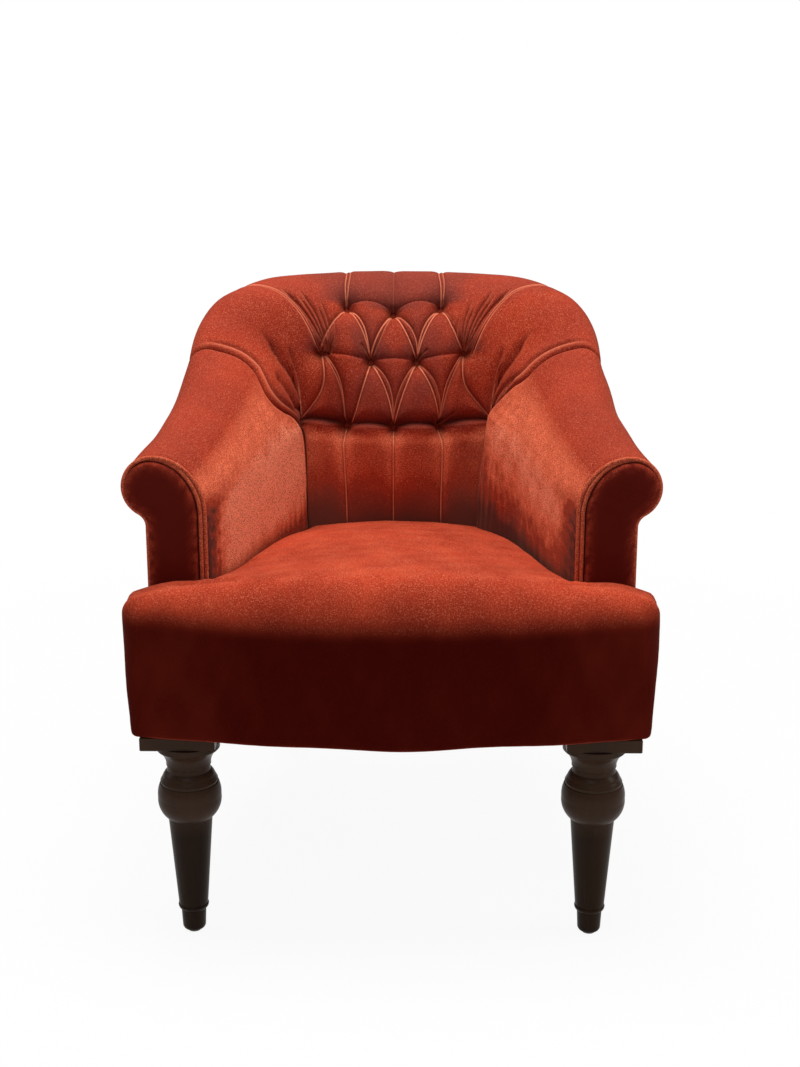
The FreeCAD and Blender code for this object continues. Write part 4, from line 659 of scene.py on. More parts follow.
# Half width of the seat's front at heights
SEAT_SIDE = np.array([
    (0.290, 0.3450), (0.303, 0.3460), (0.353, 0.3491), (0.400, 0.3519), (0.437, 0.3532),
    (0.455, 0.3534), (0.471, 0.3530), (0.491, 0.3520), (0.502, 0.3515), (0.530, 0.3500),
])
seat_edge_at, seat_side_at = spline(SEAT_EDGE[:, 0], SEAT_EDGE), spline(SEAT_SIDE[:, 0], SEAT_SIDE)
# Plan of the seat's crease on the +X side, from the arm front round to the middle
CREASE = sections(np.linspace(run_at(ARM_END), run_at(0.0), 240))["crease"]
PLAN_STEP = 0.002
PLAN_X = np.arange(-0.004, 0.380, PLAN_STEP)
PLAN_Y = np.arange(-0.420, 0.240, PLAN_STEP)


def round_meet(a, b, radius):
    """Field of where two fields are both negative, their corner rounded to the radius."""
    inside = np.minimum(np.maximum(a, b), -radius)
    return inside + np.hypot(np.maximum(a + radius, 0), np.maximum(b + radius, 0))


def plan_table():
    """Distance from the crease over the plan of the +X half, negative inside it."""
    gx, gy = np.meshgrid(PLAN_X, PLAN_Y, indexing="ij")
    flat = np.column_stack([gx.ravel(), gy.ravel(), np.zeros(gx.size)])
    line = np.vstack([[CREASE_ACROSS, -0.5], CREASE, [-0.05, CREASE_BACK]])
    d, _ = distance_to(flat, np.column_stack([line, np.zeros(len(line))]), 1.0)
    order = np.argsort(CREASE[:, 0])
    rear = np.interp(flat[:, 0], CREASE[order, 0], CREASE[order, 1])
    inside = (flat[:, 0] < CREASE_ACROSS) & (flat[:, 1] < rear)
    return np.where(inside, -d, d).reshape(gx.shape)


PLAN = plan_table()


def crease_distance(x, y):
    u = np.clip((x - PLAN_X[0]) / PLAN_STEP, 0, len(PLAN_X) - 1.001)
    v = np.clip((y - PLAN_Y[0]) / PLAN_STEP, 0, len(PLAN_Y) - 1.001)
    i, j = u.astype(int), v.astype(int)
    u, v = u - i, v - j
    return ((PLAN[i, j] * (1 - u) + PLAN[i + 1, j] * u) * (1 - v)
            + (PLAN[i, j + 1] * (1 - u) + PLAN[i + 1, j + 1] * u) * v)


def bowed_front(x):
    return -SEAT_FRONT + SEAT_BOW * (x / SEAT_HALF) ** 2


def seat_top(x, y):
    _, edge, crown, half = seat_edge_at(y).T
    ear_fall = 0.0125 * (np.maximum(x - 0.285, 0) / 0.053) ** 1.5
    return edge + crown * np.maximum(1 - (x / half) ** 2, 0) ** 1.15 - ear_fall


def seat_field(p):
    x, y, z = np.abs(p[:, 0]), p[:, 1], p[:, 2]
    front = bowed_front(x) - y + 0.005 * np.clip((0.38 - z) / 0.08, 0, 1) ** 2
    side = x - seat_side_at(z)[:, 1]
    corner = 0.011 + 0.015 * rise(z, 0.33, 0.12)
    ears = round_meet(round_meet(front, side, corner), y - EAR_REAR, 0.006)
    plan = np.minimum(ears, np.maximum(crease_distance(x, y), front))
    to_side = smooth((side - front) / 0.03 + 0.5) * rise(x, 0.30, 0.02)
    nose = NOSE * (1 - 0.42 * rise(x, 0.20, 0.14)) * (1 - to_side) + SIDE_NOSE * to_side
    behind = rise(y, -0.304, 0.018)
    radius = nose * (1 - behind) + (0.018 - 0.009 * rise(x, 0.236, 0.01)) * behind
    body = round_meet(plan, z - seat_top(x, y), radius)
    return round_meet(body, SEAT_BOTTOM - z, 0.005)


def onto_field(points, field, rounds):
    """Move points along the field's slope until they lie on its skin; gives their normals too."""
    step = 2e-4
    for _ in range(rounds):
        value = field(points)
        slope = np.column_stack([(field(points + d) - field(points - d)) / (2 * step)
                                 for d in np.eye(3) * step])
        size = np.maximum(np.linalg.norm(slope, axis=1), 0.3)
        points = points - slope * (np.clip(value, -0.02, 0.02) / size ** 2)[:, None]
    return points, slope / size[:, None]


def seat_object():
    """A block of the seat's plan, remeshed evenly and drawn onto the field."""
    outline = [(-0.25, EAR_REAR), (-BLOCK_HALF, EAR_REAR)]
    outline += [(x, bowed_front(x) + 0.004) for x in np.linspace(-BLOCK_HALF, BLOCK_HALF, 24)]
    outline += [(BLOCK_HALF, EAR_REAR), (0.25, EAR_REAR)]
    bay = CREASE[::8]
    outline += [tuple(q) for q in bay] + [(-x, y) for x, y in bay[::-1] if x > 1e-4]
    n = len(outline)
    points = [(x, y, z) for z in (SEAT_BOTTOM, BLOCK_TOP) for x, y in outline]
    faces = [tuple(reversed(range(n))), tuple(range(n, 2 * n))]
    faces += [(i, (i + 1) % n, n + (i + 1) % n, n + i) for i in range(n)]
    block = new_mesh("seat_block", points, faces)
    mesh = block.data
    mesh.remesh_voxel_size = BLOCK_VOXEL * quality
    mesh.remesh_voxel_adaptivity = 0
    bpy.context.view_layer.objects.active = block
    block.select_set(True)
    bpy.ops.object.voxel_remesh()
    mesh = block.data
    flat = np.empty(len(mesh.vertices) * 3)
    mesh.vertices.foreach_get("co", flat)
    flat, normal = onto_field(flat.reshape(-1, 3), seat_field, 7)
    faces = [tuple(f.vertices) for f in mesh.polygons]
    bpy.data.objects.remove(block)
    top = seat_top(np.abs(flat[:, 0]), flat[:, 1])
    soft = noise_field(flat, 0.17, 11) * 0.0011 + noise_field(flat, 0.05, 12) * 0.00025
    flat = flat + normal * (soft * rise(flat[:, 2], 0.31, 0.02))[:, None]
    # the front's lower edge sags a little at the middle
    across = np.abs(flat[:, 0])
    sag = 0.0055 * bell(flat[:, 0], 0.10) + 0.0012 * np.sin(flat[:, 0] / 0.031 + 0.6)
    flat[:, 2] -= (sag * fall(flat[:, 2], 0.335, 0.05) * fall(flat[:, 1], -0.20, 0.12)
                   * np.clip((0.30 - across) / 0.08, 0, 1))
    # painted shade down the front, deepest low down and lighter towards the sides, and a slight mottled
    # painted light on the top
    forward = np.clip(-normal[:, 1], 0, 1) + 0.9 * np.clip(np.abs(normal[:, 0]) - 0.3, 0, 1)
    dark_from = 0.485 + 0.007 * rise(across, 0.15, 0.15)
    down = np.clip((dark_from - flat[:, 2]) / 0.042, 0, 1)
    front_painted_shade = smooth(forward / 1.1) * (0.25 + 0.75 * smooth(down))
    pile_mottle_and_painted_shade = 0.5 + noise_field(flat * [1, 1, 0.45], 0.045, 13)
    darkness = 1.06 - 0.05 * np.clip(pile_mottle_and_painted_shade, 0, 1) - 0.09 * rise(across, 0.14, 0.16)
    pile_tone_and_painted_shading = np.clip(front_painted_shade * darkness, 0, 1) - 0.08 * (1 - front_painted_shade) * pile_mottle_and_painted_shade
    # painted shade where the surface lies below the top, down into the creases at the sides and back
    crease_painted_shade = np.clip((top - flat[:, 2]) / 0.02, 0, 1) * (flat[:, 1] > EAR_REAR - 0.012)
    return new_mesh("seat_cushion", flat, faces, {"painted_groove_shade": crease_painted_shade, "pile_tone_and_painted_shading": pile_tone_and_painted_shading})


seat = seat_object()

# Arm facings and welts
FACING_BOTTOM = 0.384
FACING_INNER, FACING_COUNT = 0.0096, 140
# the welts carry an even painted highlight and painted sheen
WELT_INSET, WELT_COUNT, WELT_RADIUS, WELT_PAINTED_HIGHLIGHT, WELT_PAINTED_SHEEN = 0.0016, 260, 0.0028, 0.02, -0.26
# From the edge to the crown of a facing: inset, how far it stands out, and how much lighter its painted
# shade is there
FACING_RINGS = [(0.0040, 0.0, 1), (0.0028, 0.0035, 1), (0.0030, 0.0058, 1), (0.0042, 0.0080, 1),
                (0.0062, 0.0094, 0.8), (0.0090, 0.0101, 0.5), (0.013, 0.0104, 0.25), (0.019, 0.0109, 0),
                (0.026, 0.0113, 0), (0.032, 0.0115, 0)]


def on_inner(count):
    """1 on the inner side of the arm front's outline to 0 on its outer side."""
    return 1 - rise(np.linspace(0, 1, count), 0.36, 0.28)


def keyhole(inset, side, count, inner):
    """Open outline of the arm front as (x, z), from the inner foot over the roll to the outer one,
    set in by that much, and by inner more on its inner side."""
    s = sections(run_at(side * ARM_END))
    q = np.linspace(0, s["marks"][0][7], 900)
    out = np.interp(q, s["length"][0], s["outs"][0])
    up = np.interp(q, s["length"][0], s["ups"][0])
    out = np.concatenate([[out[0]], out, [out[-1]]])
    up = np.concatenate([[FACING_BOTTOM], up, [FACING_BOTTOM]])
    length = path_length(out, up)
    at = np.linspace(0, length[-1], 1200)
    inset = inset + inner * on_inner(1200)
    o, u = np.interp(at, length, out), np.interp(at, length, up)
    to, tu = np.gradient(o), np.gradient(u)
    size = np.hypot(to, tu)
    o, u = o + inset * tu / size, u - inset * to / size
    length = path_length(o, u)
    at = np.linspace(0, length[-1], count)
    o, u = np.interp(at, length, o), np.interp(at, length, u)
    return np.column_stack([s["crease"][0][0] + o * s["out"][0][0], u])


def standing(line, stand):
    """The outline in space, standing that far before the arm's front."""
    return np.column_stack([line[:, 0], -ARM_FRONT - stand + np.zeros(len(line)), line[:, 1]])


def tubes_along(name, paths, radius):
    """Closed tubes along paths of points, as one piece."""
    sides = 12
    points, faces = [], []
    for path in paths:
        tangent = unit(np.gradient(path, axis=0))
        across = unit(np.cross(tangent, [0.0, -1.0, 0.0]))
        lift = np.cross(across, tangent)
        turns = 2 * math.pi * np.arange(sides) / sides
        grid = np.stack([path + radius * (math.cos(a) * across + math.sin(a) * lift) for a in turns],
                        axis=1)
        faces += [tuple(len(points) + k for k in f) for f in ring_faces(len(path), sides)]
        points += [tuple(q) for q in grid.reshape(-1, 3)]
    # the cords take an even painted highlight and painted sheen
    return new_mesh(name, points, faces, {"lip": np.full(len(points), WELT_PAINTED_HIGHLIGHT),
                                          "pile_tone_and_painted_shading": np.full(len(points), WELT_PAINTED_SHEEN)})


def facing_object(label, side):
    """Padded plate: its face swells from a rolled edge to a gentle crown."""
    grid = np.stack([standing(keyhole(inset, side, FACING_COUNT, FACING_INNER), stand)
                     for inset, stand, _ in FACING_RINGS])
    n, m = grid.shape[:2]
    faces = [(a, a + 1, a + m + 1, a + m) for i in range(n - 1) for a in range(i * m, (i + 1) * m - 1)]
    # the middle closes between the two legs of the last ring
    for j in range(m // 2 - 1):
        a, b = (n - 1) * m + j, n * m - 1 - j
        faces.append((a, a + 1, b - 1, b))
    faces.append(tuple(reversed(range(m))))
    if side < 0:
        faces = [tuple(reversed(f)) for f in faces]
    points = grid.reshape(-1, 3)
    # painted shade over the whole face, lighter and mottled towards its rolled rim
    rim = np.repeat([ring[2] for ring in FACING_RINGS], m)
    pile_tone_and_painted_shading = 0.93 - rim * (0.30 + 0.45 * np.clip(noise_field(points, 0.014, 31), -0.6, 1))
    return new_mesh("arm_front_" + label, points, faces, {"pile_tone_and_painted_shading": pile_tone_and_painted_shading})


def welt_object(label, side):
    """Two cords: side by side along the inner side, one behind the other on the outer side."""
    inner_side = on_inner(WELT_COUNT)
    cords = ((0.0006, 0.0030), (0.0064, 0.0050 * inner_side - 0.0042 * (1 - inner_side)))
    paths = [standing(keyhole(WELT_INSET, side, WELT_COUNT, inner), stand) for inner, stand in cords]
    return tubes_along("arm_piping_" + label, paths, WELT_RADIUS)


facings, welts = {}, {}
for label, side in SIDES:
    facings[label] = facing_object(label, side)
    welts[label] = welt_object(label, side)

# Outside panels between the lip and the frame, over the corners of the frame's plan
BASE_CORNERS = np.array([(0.3295, -0.304), (0.2785, 0.140), (0.2035, 0.2985), (-0.2035, 0.2985),
                         (-0.2785, 0.140), (-0.3295, -0.304)])


def base_distance(crease, out):
    """Way from the crease outwards to the frame's edge."""
    best = math.inf
    for a, b in zip(BASE_CORNERS[:-1], BASE_CORNERS[1:]):
        run = b - a
        cross = out[0] * run[1] - out[1] * run[0]
        if abs(cross) < 1e-9:
            continue
        gap = a - crease
        along = (gap[0] * run[1] - gap[1] * run[0]) / cross
        share = (gap[0] * out[1] - gap[1] * out[0]) / cross
        if -1e-6 <= share <= 1 + 1e-6 and along > 0:
            best = min(best, along)
    return best


def panel_object(name, start, end):
    """Panel, its flat size and the area it is cut to."""
    run = runs_between(start, end, PANEL_STEP)
    s = sections(run)
    feet = np.array([base_distance(s["crease"][i], s["out"][i]) for i in range(len(run))])
    kernel = np.hanning(13)
    soft = np.convolve(np.pad(feet, 6, mode="edge"), kernel / kernel.sum(), mode="valid")
    rows = np.linspace(0, 1, 40)
    front_gap = np.minimum(np.abs(run - run_at(ARM_END)), np.abs(run - run_at(-ARM_END)))
    tuck = 0.0065 * (1 - smooth(front_gap / 0.035))
    taut = 0.004 * np.sin(rows * math.pi) + 0.0035 * np.exp(-rows / 0.03)
    hem = 0.004 * (np.maximum(rows - 0.97, 0) / 0.03) ** 2
    outer, inner = [], []
    for i in range(len(run)):
        head = s["reach"][i] + STEM - tuck[i]
        foot = max(soft[i], feet[i])
        o = foot + (head - foot) * rows - taut + 0.0035 - hem
        u = SEAT_BOTTOM + (s["lip_up"][i] - 0.0008 - SEAT_BOTTOM) * rows
        at = lambda o, u: np.column_stack([s["crease"][i] + np.outer(o, s["out"][i]), u])
        outer.append(at(o, u))
        inner.append(at(o[::-1][::13] - 0.0014, u[::-1][::13]))
    face = np.array(outer)
    grid = np.concatenate([face, np.array(inner)], axis=1)
    # flat size of the cut: its longest run round the chair, its tallest height, and its area
    along = np.linalg.norm(np.diff(face, axis=0), axis=2)
    up = np.linalg.norm(np.diff(face, axis=1), axis=2)
    flat = (float(along.sum(0).max()), float(up.sum(1).max()))
    area = float((0.25 * (along[:, 1:] + along[:, :-1]) * (up[1:] + up[:-1])).sum())
    n, m = grid.shape[:2]
    faces = [tuple(reversed(f)) for f in ring_faces(n, m)]
    # the outside panels take an even painted shade
    return new_mesh(name, grid.reshape(-1, 3), faces, {"pile_tone_and_painted_shading": np.full(n * m, 0.35)}), flat, area


# Panels: name, first and last column, and what they rest on
PANELS = (
    ("arm_right", ARM_END, PANEL_SEAM, ["arm_rail_right", "side_rail_right", "arm_post_right"]),
    ("arm_left", -ARM_END, -PANEL_SEAM, ["arm_rail_left", "side_rail_left", "arm_post_left"]),
    ("back", PANEL_SEAM, -PANEL_SEAM, ["crest_rail", "back_rail", "back_post_right", "back_post_left"]),
)
panels = [panel_object("outer_" + name, start, end) for name, start, end, _ in PANELS]

# Covered buttons at the bottom of their dimples
BUTTON_IN, BUTTON_RADIUS, BUTTON_HEIGHT = 0.0245, 0.0072, 0.0045


def button_objects():
    points, faces = [], []
    rings, sides = 7, 20
    for column, row in BUTTONS:
        line = shell_points([column, column + 0.01, column], [row, row, row + 0.02])
        normal = unit(np.cross(line[2] - line[0], line[1] - line[0]))
        if normal[1] > 0:
            normal = -normal
        a = unit(np.cross(normal, [0, 0, 1.0]))
        b = np.cross(normal, a)
        base = len(points)
        for k in range(rings):
            t = k / (rings - 1)
            r = BUTTON_RADIUS * math.cos(t * math.pi / 2) ** 0.7 if k < rings - 1 else 0.0004
            centre = line[0] - normal * BUTTON_IN + normal * (BUTTON_HEIGHT * math.sin(t * math.pi / 2))
            turns = [2 * math.pi * j / sides for j in range(sides)]
            points += [centre + a * r * math.cos(turn) + b * r * math.sin(turn) for turn in turns]
        for k in range(rings - 1):
            for j in range(sides):
                p, q = base + k * sides + j, base + k * sides + (j + 1) % sides
                faces.append((p, q, q + sides, p + sides))
        faces.append(tuple(base + (rings - 1) * sides + j for j in range(sides)))
        faces.append(tuple(base + j for j in reversed(range(sides))))
    # the buttons take an even painted shade, as deep in their dimples
    return new_mesh("tuft_buttons", np.array(points), faces, {"painted_groove_shade": np.full(len(points), 0.6)})


buttons = button_objects()

# Dust cover: thin cloth tacked under the base, with a slight sag; its outline as (y, half width)
DUST_CUT = [(-0.328, 0.2315), (-0.2555, 0.2315), (-0.2545, 0.3054), (0.140, 0.2600), (0.2255, 0.2176),
            (0.2265, 0.1440), (0.280, 0.1440)]
DUST_THICK, DUST_SAG = 0.0008, 0.0045


def dust_sheet():
    """The sheet and the area it was cut to."""
    cut = np.array(DUST_CUT)
    ys = np.unique(np.concatenate([cut[:, 0], np.linspace(cut[0, 0], cut[-1, 0], 60)]))
    half = np.interp(ys, cut[:, 0], cut[:, 1])
    across = np.linspace(-1, 1, 41)
    along = np.sin(math.pi * (ys - ys[0]) / (ys[-1] - ys[0]))
    layers = []
    for lift in (0.0, DUST_THICK):
        x = half[:, None] * across[None]
        y = np.repeat(ys[:, None], len(across), 1)
        z = SEAT_BOTTOM - 0.001 + lift - DUST_SAG * (along[:, None] * (1 - across[None] ** 2)) ** 0.7
        layers.append(np.stack([x, y, z], 2))
    grid = np.concatenate([layers[0], layers[1][:, ::-1]], axis=1)
    n, m = grid.shape[:2]
    item = new_mesh("under_cloth", grid.reshape(-1, 3), [tuple(reversed(f)) for f in ring_faces(n, m)])
    return item, float(np.sum((half[1:] + half[:-1]) * np.diff(ys)))


under_cloth, under_area = dust_sheet()


# Materials
class Nodes:
    """Adds and links the nodes of a material or of the world."""

    def __init__(self, owner, shader="Principled BSDF"):
        owner.use_nodes = True
        self.owner, self.tree = owner, owner.node_tree
        self.shader = self.tree.nodes[shader]

    def put(self, socket, value):
        if isinstance(value, bpy.types.NodeSocket):
            self.tree.links.new(value, socket)
        else:
            socket.default_value = value

    def put_all(self, node, inputs):
        for key, value in inputs.items():
            self.put(node.inputs[key.replace("_", " ")], value)

    def add(self, kind, **inputs):
        node = self.tree.nodes.new(kind)
        self.put_all(node, inputs)
        return node

    def set(self, **inputs):
        self.put_all(self.shader, inputs)

    def place(self):
        return self.add("ShaderNodeTexCoord").outputs["Object"]

    def noise(self, scale, detail=3.0, roughness=0.55, stretch=None, distortion=0.0):
        vector = self.place()
        if stretch:
            vector = self.add("ShaderNodeMapping", Vector=vector, Scale=stretch).outputs[0]
        return self.add("ShaderNodeTexNoise", Vector=vector, Scale=scale, Detail=detail,
                        Roughness=roughness, Distortion=distortion).outputs["Fac"]

    def span(self, value, low, high, to_low, to_high):
        node = self.add("ShaderNodeMapRange", Value=value)
        for index, number in enumerate((low, high, to_low, to_high), start=1):
            node.inputs[index].default_value = number
        return node.outputs[0]

    def math(self, operation, a, b):
        node = self.add("ShaderNodeMath")
        node.operation = operation
        self.put(node.inputs[0], a)
        self.put(node.inputs[1], b)
        return node.outputs[0]

    def times(self, a, b):
        return self.math("MULTIPLY", a, b)

    def mix(self, fac, a, b):
        node = self.add("ShaderNodeMix")
        node.data_type = "RGBA"
        for index, value in ((0, fac), (6, a), (7, b)):
            self.put(node.inputs[index], value)
        return node.outputs[2]

    def bump(self, height, strength, distance):
        node = self.add("ShaderNodeBump", Height=height, Strength=strength, Distance=distance)
        self.tree.links.new(node.outputs[0], self.shader.inputs["Normal"])

    def cover(self, fac, other, output):
        """Lay another shader over this one by fac, into the output."""
        blend = self.add("ShaderNodeMixShader")
        for socket, source in zip(blend.inputs, (fac, self.shader.outputs[0], other.outputs[0])):
            self.tree.links.new(source, socket)
        self.tree.links.new(blend.outputs[0], self.tree.nodes[output].inputs["Surface"])


def new_material(name):
    return Nodes(bpy.data.materials.new(name))


def srgb(r, g, b):
    """Linear colour from 0-255 display values."""
    def one(v):
        v = v / 255
        return v / 12.92 if v <= 0.04045 else ((v + 0.055) / 1.055) ** 2.4
    return (one(r), one(g), one(b), 1.0)


def darker(colour, share):
    return tuple(v * share for v in colour[:3]) + (1.0,)


# Velvet's painted sheen in two strengths, its speckle, and its folds' painted shade and painted
# highlight
PAINTED_SHEEN, PAINTED_SHEEN_FULL, SPECKLE = srgb(228, 110, 75), srgb(255, 152, 116), srgb(242, 150, 116)
GROOVE_PAINTED_SHADE, EDGE_PAINTED_HIGHLIGHT = srgb(62, 18, 14), srgb(244, 146, 110)


def velvet(name, low, high, sheen, shadow, half_shadow=None):
    """Cotton velvet: random patches, a fine speckle, and painted sheen, shade and highlights."""
    m = new_material(name)
    cloud = m.noise(9, 3, 0.6)
    brush = m.noise(38, 4, 0.7, stretch=(1.0, 1.0, 0.6), distortion=0.8)
    speck = m.noise(600, 2, 0.65)
    fibre = m.noise(1500, 2, 0.6)
    painted = {}
    for key in ("painted_groove_shade", "lip", "pile_tone_and_painted_shading"):
        node = m.add("ShaderNodeAttribute")
        node.attribute_name = key
        painted[key] = node.outputs["Fac"]
    pile_tone_and_painted_shading = painted["pile_tone_and_painted_shading"]
    colour = m.mix(m.span(cloud, 0.35, 0.65, 0.0, 1.0), low, high)
    colour = m.mix(m.span(brush, 0.35, 0.72, 0.0, 0.24), colour, darker(low, 0.62))
    # painted sheen where the shading attribute is under zero, painted half shadow and shadow where it is
    # over
    colour = m.mix(m.span(pile_tone_and_painted_shading, 0.0, -0.65, 0.0, 0.92), colour, PAINTED_SHEEN)
    colour = m.mix(m.span(pile_tone_and_painted_shading, -0.65, -1.3, 0.0, 1.0), colour, PAINTED_SHEEN_FULL)
    if half_shadow:
        colour = m.mix(m.span(pile_tone_and_painted_shading, 0.0, 0.45, 0.0, 0.65), colour, half_shadow)
    colour = m.mix(m.span(pile_tone_and_painted_shading, 0.3 if half_shadow else 0.0, 1.0, 0.0, 0.97), colour, shadow)
    spots = m.times(m.span(speck, 0.52, 0.67, 0.0, 0.85), m.span(brush, 0.30, 0.60, 0.45, 0.9))
    spots = m.times(spots, m.span(pile_tone_and_painted_shading, -0.9, 0.4, 1.0, 0.20))
    spots = m.times(spots, m.span(pile_tone_and_painted_shading, 0.62, 0.86, 1.0, 0.05))
    colour = m.mix(spots, colour, SPECKLE)
    dips = m.times(m.span(speck, 0.50, 0.38, 0.0, 0.85), m.span(pile_tone_and_painted_shading, -0.9, 0.4, 1.0, 0.30))
    colour = m.mix(dips, colour, darker(low, 0.35))
    # painted shade in the grooves and painted highlight on the rims
    colour = m.mix(m.times(painted["painted_groove_shade"], 0.80), colour, GROOVE_PAINTED_SHADE)
    colour = m.mix(m.times(painted["lip"], 0.80), colour, EDGE_PAINTED_HIGHLIGHT)
    m.set(Base_Color=colour, Roughness=m.span(brush, 0.3, 0.7, 0.80, 0.95), Sheen_Weight=sheen,
          Sheen_Roughness=0.38, Sheen_Tint=(1.0, 0.44, 0.27, 1.0), Specular_IOR_Level=0.03)
    m.bump(m.math("ADD", m.times(speck, 0.6), m.times(fibre, 0.4)), 0.35, 0.0008)
    return m.owner


def wood(name, dark, light, gloss, top_painted_highlight=None):
    """Straight grained wood, with a lighter colour mixed in on the turnings at the top as a painted
    highlight.
    """
    m = new_material(name)
    grain = m.noise(26, 4, 0.6, stretch=(1.0, 1.0, 0.08), distortion=0.8)
    pore = m.noise(420, 2, 0.6, stretch=(1.0, 1.0, 0.05))
    cloud = m.noise(7, 2, 0.5)
    colour = m.mix(m.span(grain, 0.35, 0.68, 0, 1), dark, light)
    colour = m.mix(m.span(pore, 0.58, 0.75, 0, 0.5), colour, darker(dark, 0.4))
    if top_painted_highlight:
        # painted highlight on the turnings at the top, mottled by the cloud
        height = m.add("ShaderNodeSeparateXYZ", Vector=m.place()).outputs["Z"]
        highlight_share = m.times(m.span(height, 0.150, 0.190, 0, 0.62), m.span(cloud, 0.3, 0.7, 0.7, 1.0))
        colour = m.mix(highlight_share, colour, top_painted_highlight)
    m.set(Base_Color=colour, Roughness=m.span(cloud, 0.3, 0.7, gloss, gloss + 0.12),
          Specular_IOR_Level=0.05, Coat_Weight=0.05, Coat_Roughness=0.16)
    m.bump(m.math("ADD", grain, pore), 0.12, 0.0004)
    return m.owner


def cloth(name, low, high, scale):
    """Plain woven cloth: crossed threads with slubs."""
    m = new_material(name)
    one = m.add("ShaderNodeTexWave", Vector=m.place(), Scale=scale, Distortion=0.6)
    two = m.add("ShaderNodeTexWave", Vector=m.place(), Scale=scale, Distortion=0.6)
    two.bands_direction = "Z"
    weave = m.times(one.outputs["Fac"], two.outputs["Fac"])
    colour = m.mix(m.span(m.noise(60, 3, 0.6), 0.35, 0.65, 0, 1), low, high)
    colour = m.mix(m.span(weave, 0, 1, 0.35, 0.0), colour, darker(low, 0.5))
    m.set(Base_Color=colour, Roughness=0.9, Sheen_Weight=0.1)
    m.bump(weave, 0.3, 0.0004)
    return m.owner


def metal(name, colour, rough):
    m = new_material(name)
    draw = m.noise(300, 3, 0.6, stretch=(1, 0.1, 1))
    tint = m.mix(m.span(m.noise(40, 3, 0.6), 0.4, 0.7, 0, 0.5), colour, darker(colour, 0.55))
    m.set(Base_Color=tint, Roughness=m.span(draw, 0.3, 0.7, rough, rough + 0.2), Metallic=1.0)
    m.bump(draw, 0.1, 0.0002)
    return m.owner


def plain_soft(name, low, high, scale, rough):
    m = new_material(name)
    cell = m.noise(scale, 4, 0.7)
    colour = m.mix(m.span(m.noise(14, 2, 0.5), 0.35, 0.65, 0, 1), low, high)
    colour = m.mix(m.span(cell, 0.5, 0.75, 0, 0.4), colour, darker(low, 0.6))
    m.set(Base_Color=colour, Roughness=rough)
    m.bump(cell, 0.3, 0.0006)
    return m.owner


# three copies of one rust velvet, as lit and shaded copies: they differ a little in tone and sheen and
# in the colour of their painted shadow
velvet_body = velvet("velvet_rust", srgb(141, 43, 25), srgb(163, 54, 31), 0.08, srgb(78, 40, 37),
                     half_shadow=srgb(124, 52, 42))
velvet_seat = velvet("velvet_rust_seat", srgb(153, 49, 29), srgb(178, 62, 37), 0.06, srgb(56, 1, 0))
velvet_dark = velvet("velvet_rust_front", srgb(150, 48, 31), srgb(180, 63, 41), 0.06, srgb(70, 11, 8))
stained = wood("stained_beech", srgb(27, 13, 3), srgb(47, 29, 12), 0.30, top_painted_highlight=srgb(74, 54, 42))
timber = wood("frame_beech", srgb(176, 138, 96), srgb(205, 170, 124), 0.62)
steel = metal("spring_steel", srgb(150, 150, 152), 0.35)
webbing = cloth("jute_webbing", srgb(150, 118, 78), srgb(178, 146, 102), 260)
foam = plain_soft("cream_foam", srgb(214, 196, 150), srgb(228, 212, 172), 700, 0.95)
felt = plain_soft("grey_felt", srgb(120, 116, 110), srgb(150, 145, 138), 260, 0.98)
twine = cloth("waxed_twine", srgb(196, 178, 140), srgb(214, 198, 164), 900)
dust = cloth("black_dust_cloth", srgb(24, 24, 26), srgb(38, 38, 40), 420)
glide = plain_soft("dark_glides", srgb(26, 24, 23), srgb(44, 41, 39), 500, 0.45)


def pairs_of(*names):
    return [name + end for name in names for end in ("_right", "_left")]


FINISHES = {
    stained: pairs_of("front_leg", "front_plinth", "rear_leg"),
    timber: ["front_rail", "back_rail", "frame_dowels", "crest_rail", "back_tack_rail"] + pairs_of(
        "side_rail", "rear_corner_rail", "corner_block_front", "corner_block_rear", "arm_rail",
        "arm_post", "back_post", "arm_tack_rail"),
    steel: ["leg_bolts", "leg_inserts", "seat_springs", "spring_clips"],
    webbing: ["back_webbing"],
    foam: ["seat_foam"],
    felt: ["seat_insulator"],
    twine: ["button_twines"],
    glide: ["foot_glides"],
}
for material, names in FINISHES.items():
    for name in names:
        item = nodes[name]
        if not item.material_slots:
            item.data.materials.append(material)
        for slot in item.material_slots:
            slot.material = material


# Each soft piece rides on the body and stands for its CAD solid
def dress(piece, node, finish):
    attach(piece, "root")
    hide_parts(node)
    piece.data.materials.append(finish)


dress(back, "back_pad", velvet_body)
dress(seat, "seat_pad", velvet_seat)
for pieces, node, finish in ((arms, "arm_pad_", velvet_body), (facings, "arm_facing_", velvet_dark)):
    for label, piece in pieces.items():
        dress(piece, node + label, finish)
for label, piece in welts.items():
    dress(piece, "arm_welt_" + label, velvet_body)
for (piece, flat, area), (name, _, _, rests) in zip(panels, PANELS):
    dress(piece, "outside_" + name, velvet_body)
    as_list(rests)
dress(under_cloth, "dust_cover", dust)
dress(buttons, "back_buttons", velvet_body)

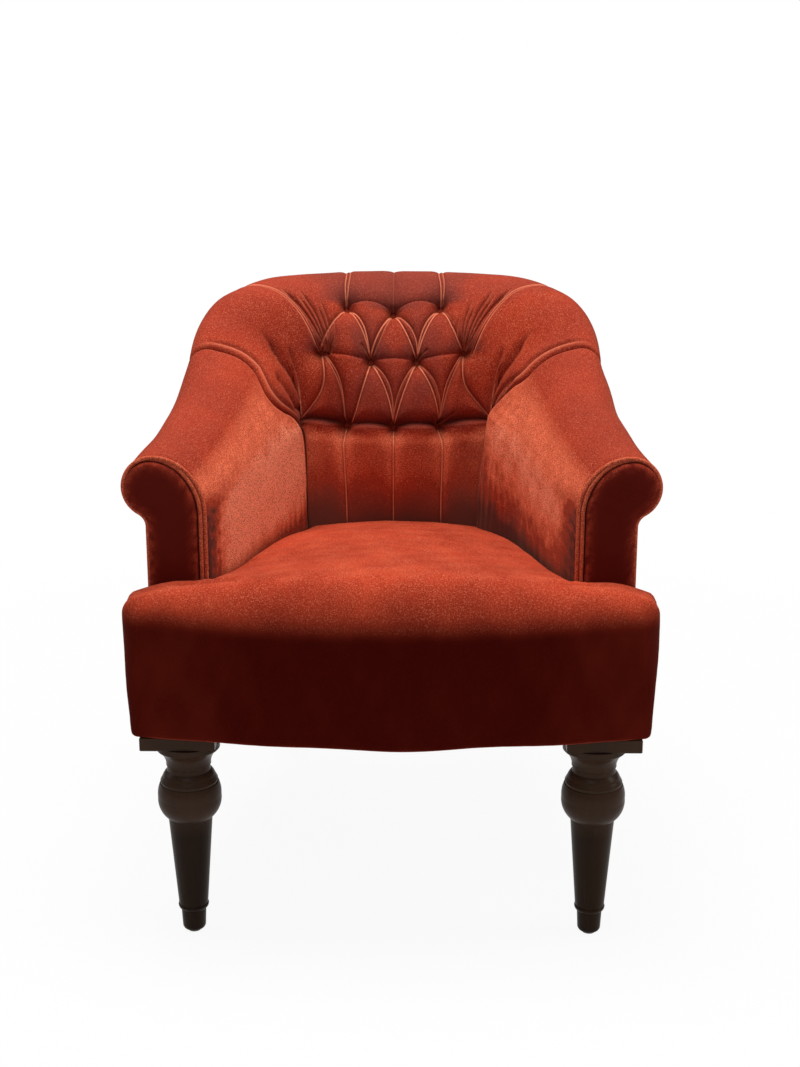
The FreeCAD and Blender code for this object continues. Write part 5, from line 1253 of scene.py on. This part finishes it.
# Floor and background: white where the camera sees them, with the chair's shadow kept near it
WHITE = (1, 1, 1, 1)
floor = new_mesh("floor", [(-6, -6, 0), (6, -6, 0), (6, 6, 0), (-6, 6, 0)], [(0, 1, 2, 3)])
ground = new_material("pale_floor")
ground.set(Base_Color=ground.mix(ground.noise(3, 2), (0.80, 0.80, 0.80, 1), (0.83, 0.83, 0.83, 1)),
           Roughness=0.9)
rays = ground.add("ShaderNodeLightPath").outputs
seen = ground.math("MAXIMUM", rays["Is Camera Ray"], rays["Is Glossy Ray"])
from_middle = ground.add("ShaderNodeVectorMath", Vector=ground.place())
from_middle.operation = "LENGTH"
whiter = ground.span(from_middle.outputs["Value"], 0.5, 1.8, 0.93, 1.0)
ground.cover(ground.times(seen, whiter), ground.add("ShaderNodeEmission", Color=WHITE),
             "Material Output")
floor.data.materials.append(ground.owner)

world = Nodes(bpy.data.worlds.new("studio"), "Background")
bpy.context.scene.world = world.owner
world.set(Color=(0.9, 0.93, 1.0, 1), Strength=0.28)
rays = world.add("ShaderNodeLightPath").outputs
world.cover(world.math("MAXIMUM", rays["Is Camera Ray"], rays["Is Transmission Ray"]),
            world.add("ShaderNodeBackground", Color=WHITE, Strength=1.0), "World Output")


# Lights and camera
def softbox(name, place, target, size, power, colour=(1, 1, 1)):
    data = bpy.data.lights.new(name, "AREA")
    data.shape = "RECTANGLE"
    data.size, data.size_y = size
    data.energy = power
    data.color = colour
    item = bpy.data.objects.new(name, data)
    bpy.context.scene.collection.objects.link(item)
    item.location = place
    towards = np.array(target) - np.array(place)
    flat = math.hypot(towards[0], towards[1])
    item.rotation_euler = (math.atan2(flat, -towards[2]), 0, math.atan2(-towards[0], towards[1]))


softbox("overhead", (-0.1, -0.1, 2.6), (0, 0.0, 0.5), (1.5, 1.1), 61, (1.0, 0.98, 0.95))
softbox("front_high", (-0.5, -2.4, 2.5), (0, 0, 0.6), (1.4, 1.0), 9)
softbox("side_left", (-2.3, 0.3, 1.4), (0, 0, 0.6), (0.9, 1.4), 7)
softbox("side_right", (2.3, -0.3, 1.6), (0, 0, 0.6), (0.9, 1.4), 17)

camera_data = bpy.data.cameras.new("photo_view")
camera_data.sensor_fit = "AUTO"
camera_data.sensor_width = 36
camera_data.lens = 54.08
camera = bpy.data.objects.new("photo_view", camera_data)
bpy.context.scene.collection.objects.link(camera)
camera.location = (0.036, -2.32825, 1.11195)
camera.rotation_euler = (math.radians(75), 0, math.radians(0.68))
bpy.context.scene.camera = camera
bpy.context.scene.view_settings.view_transform = "Standard"
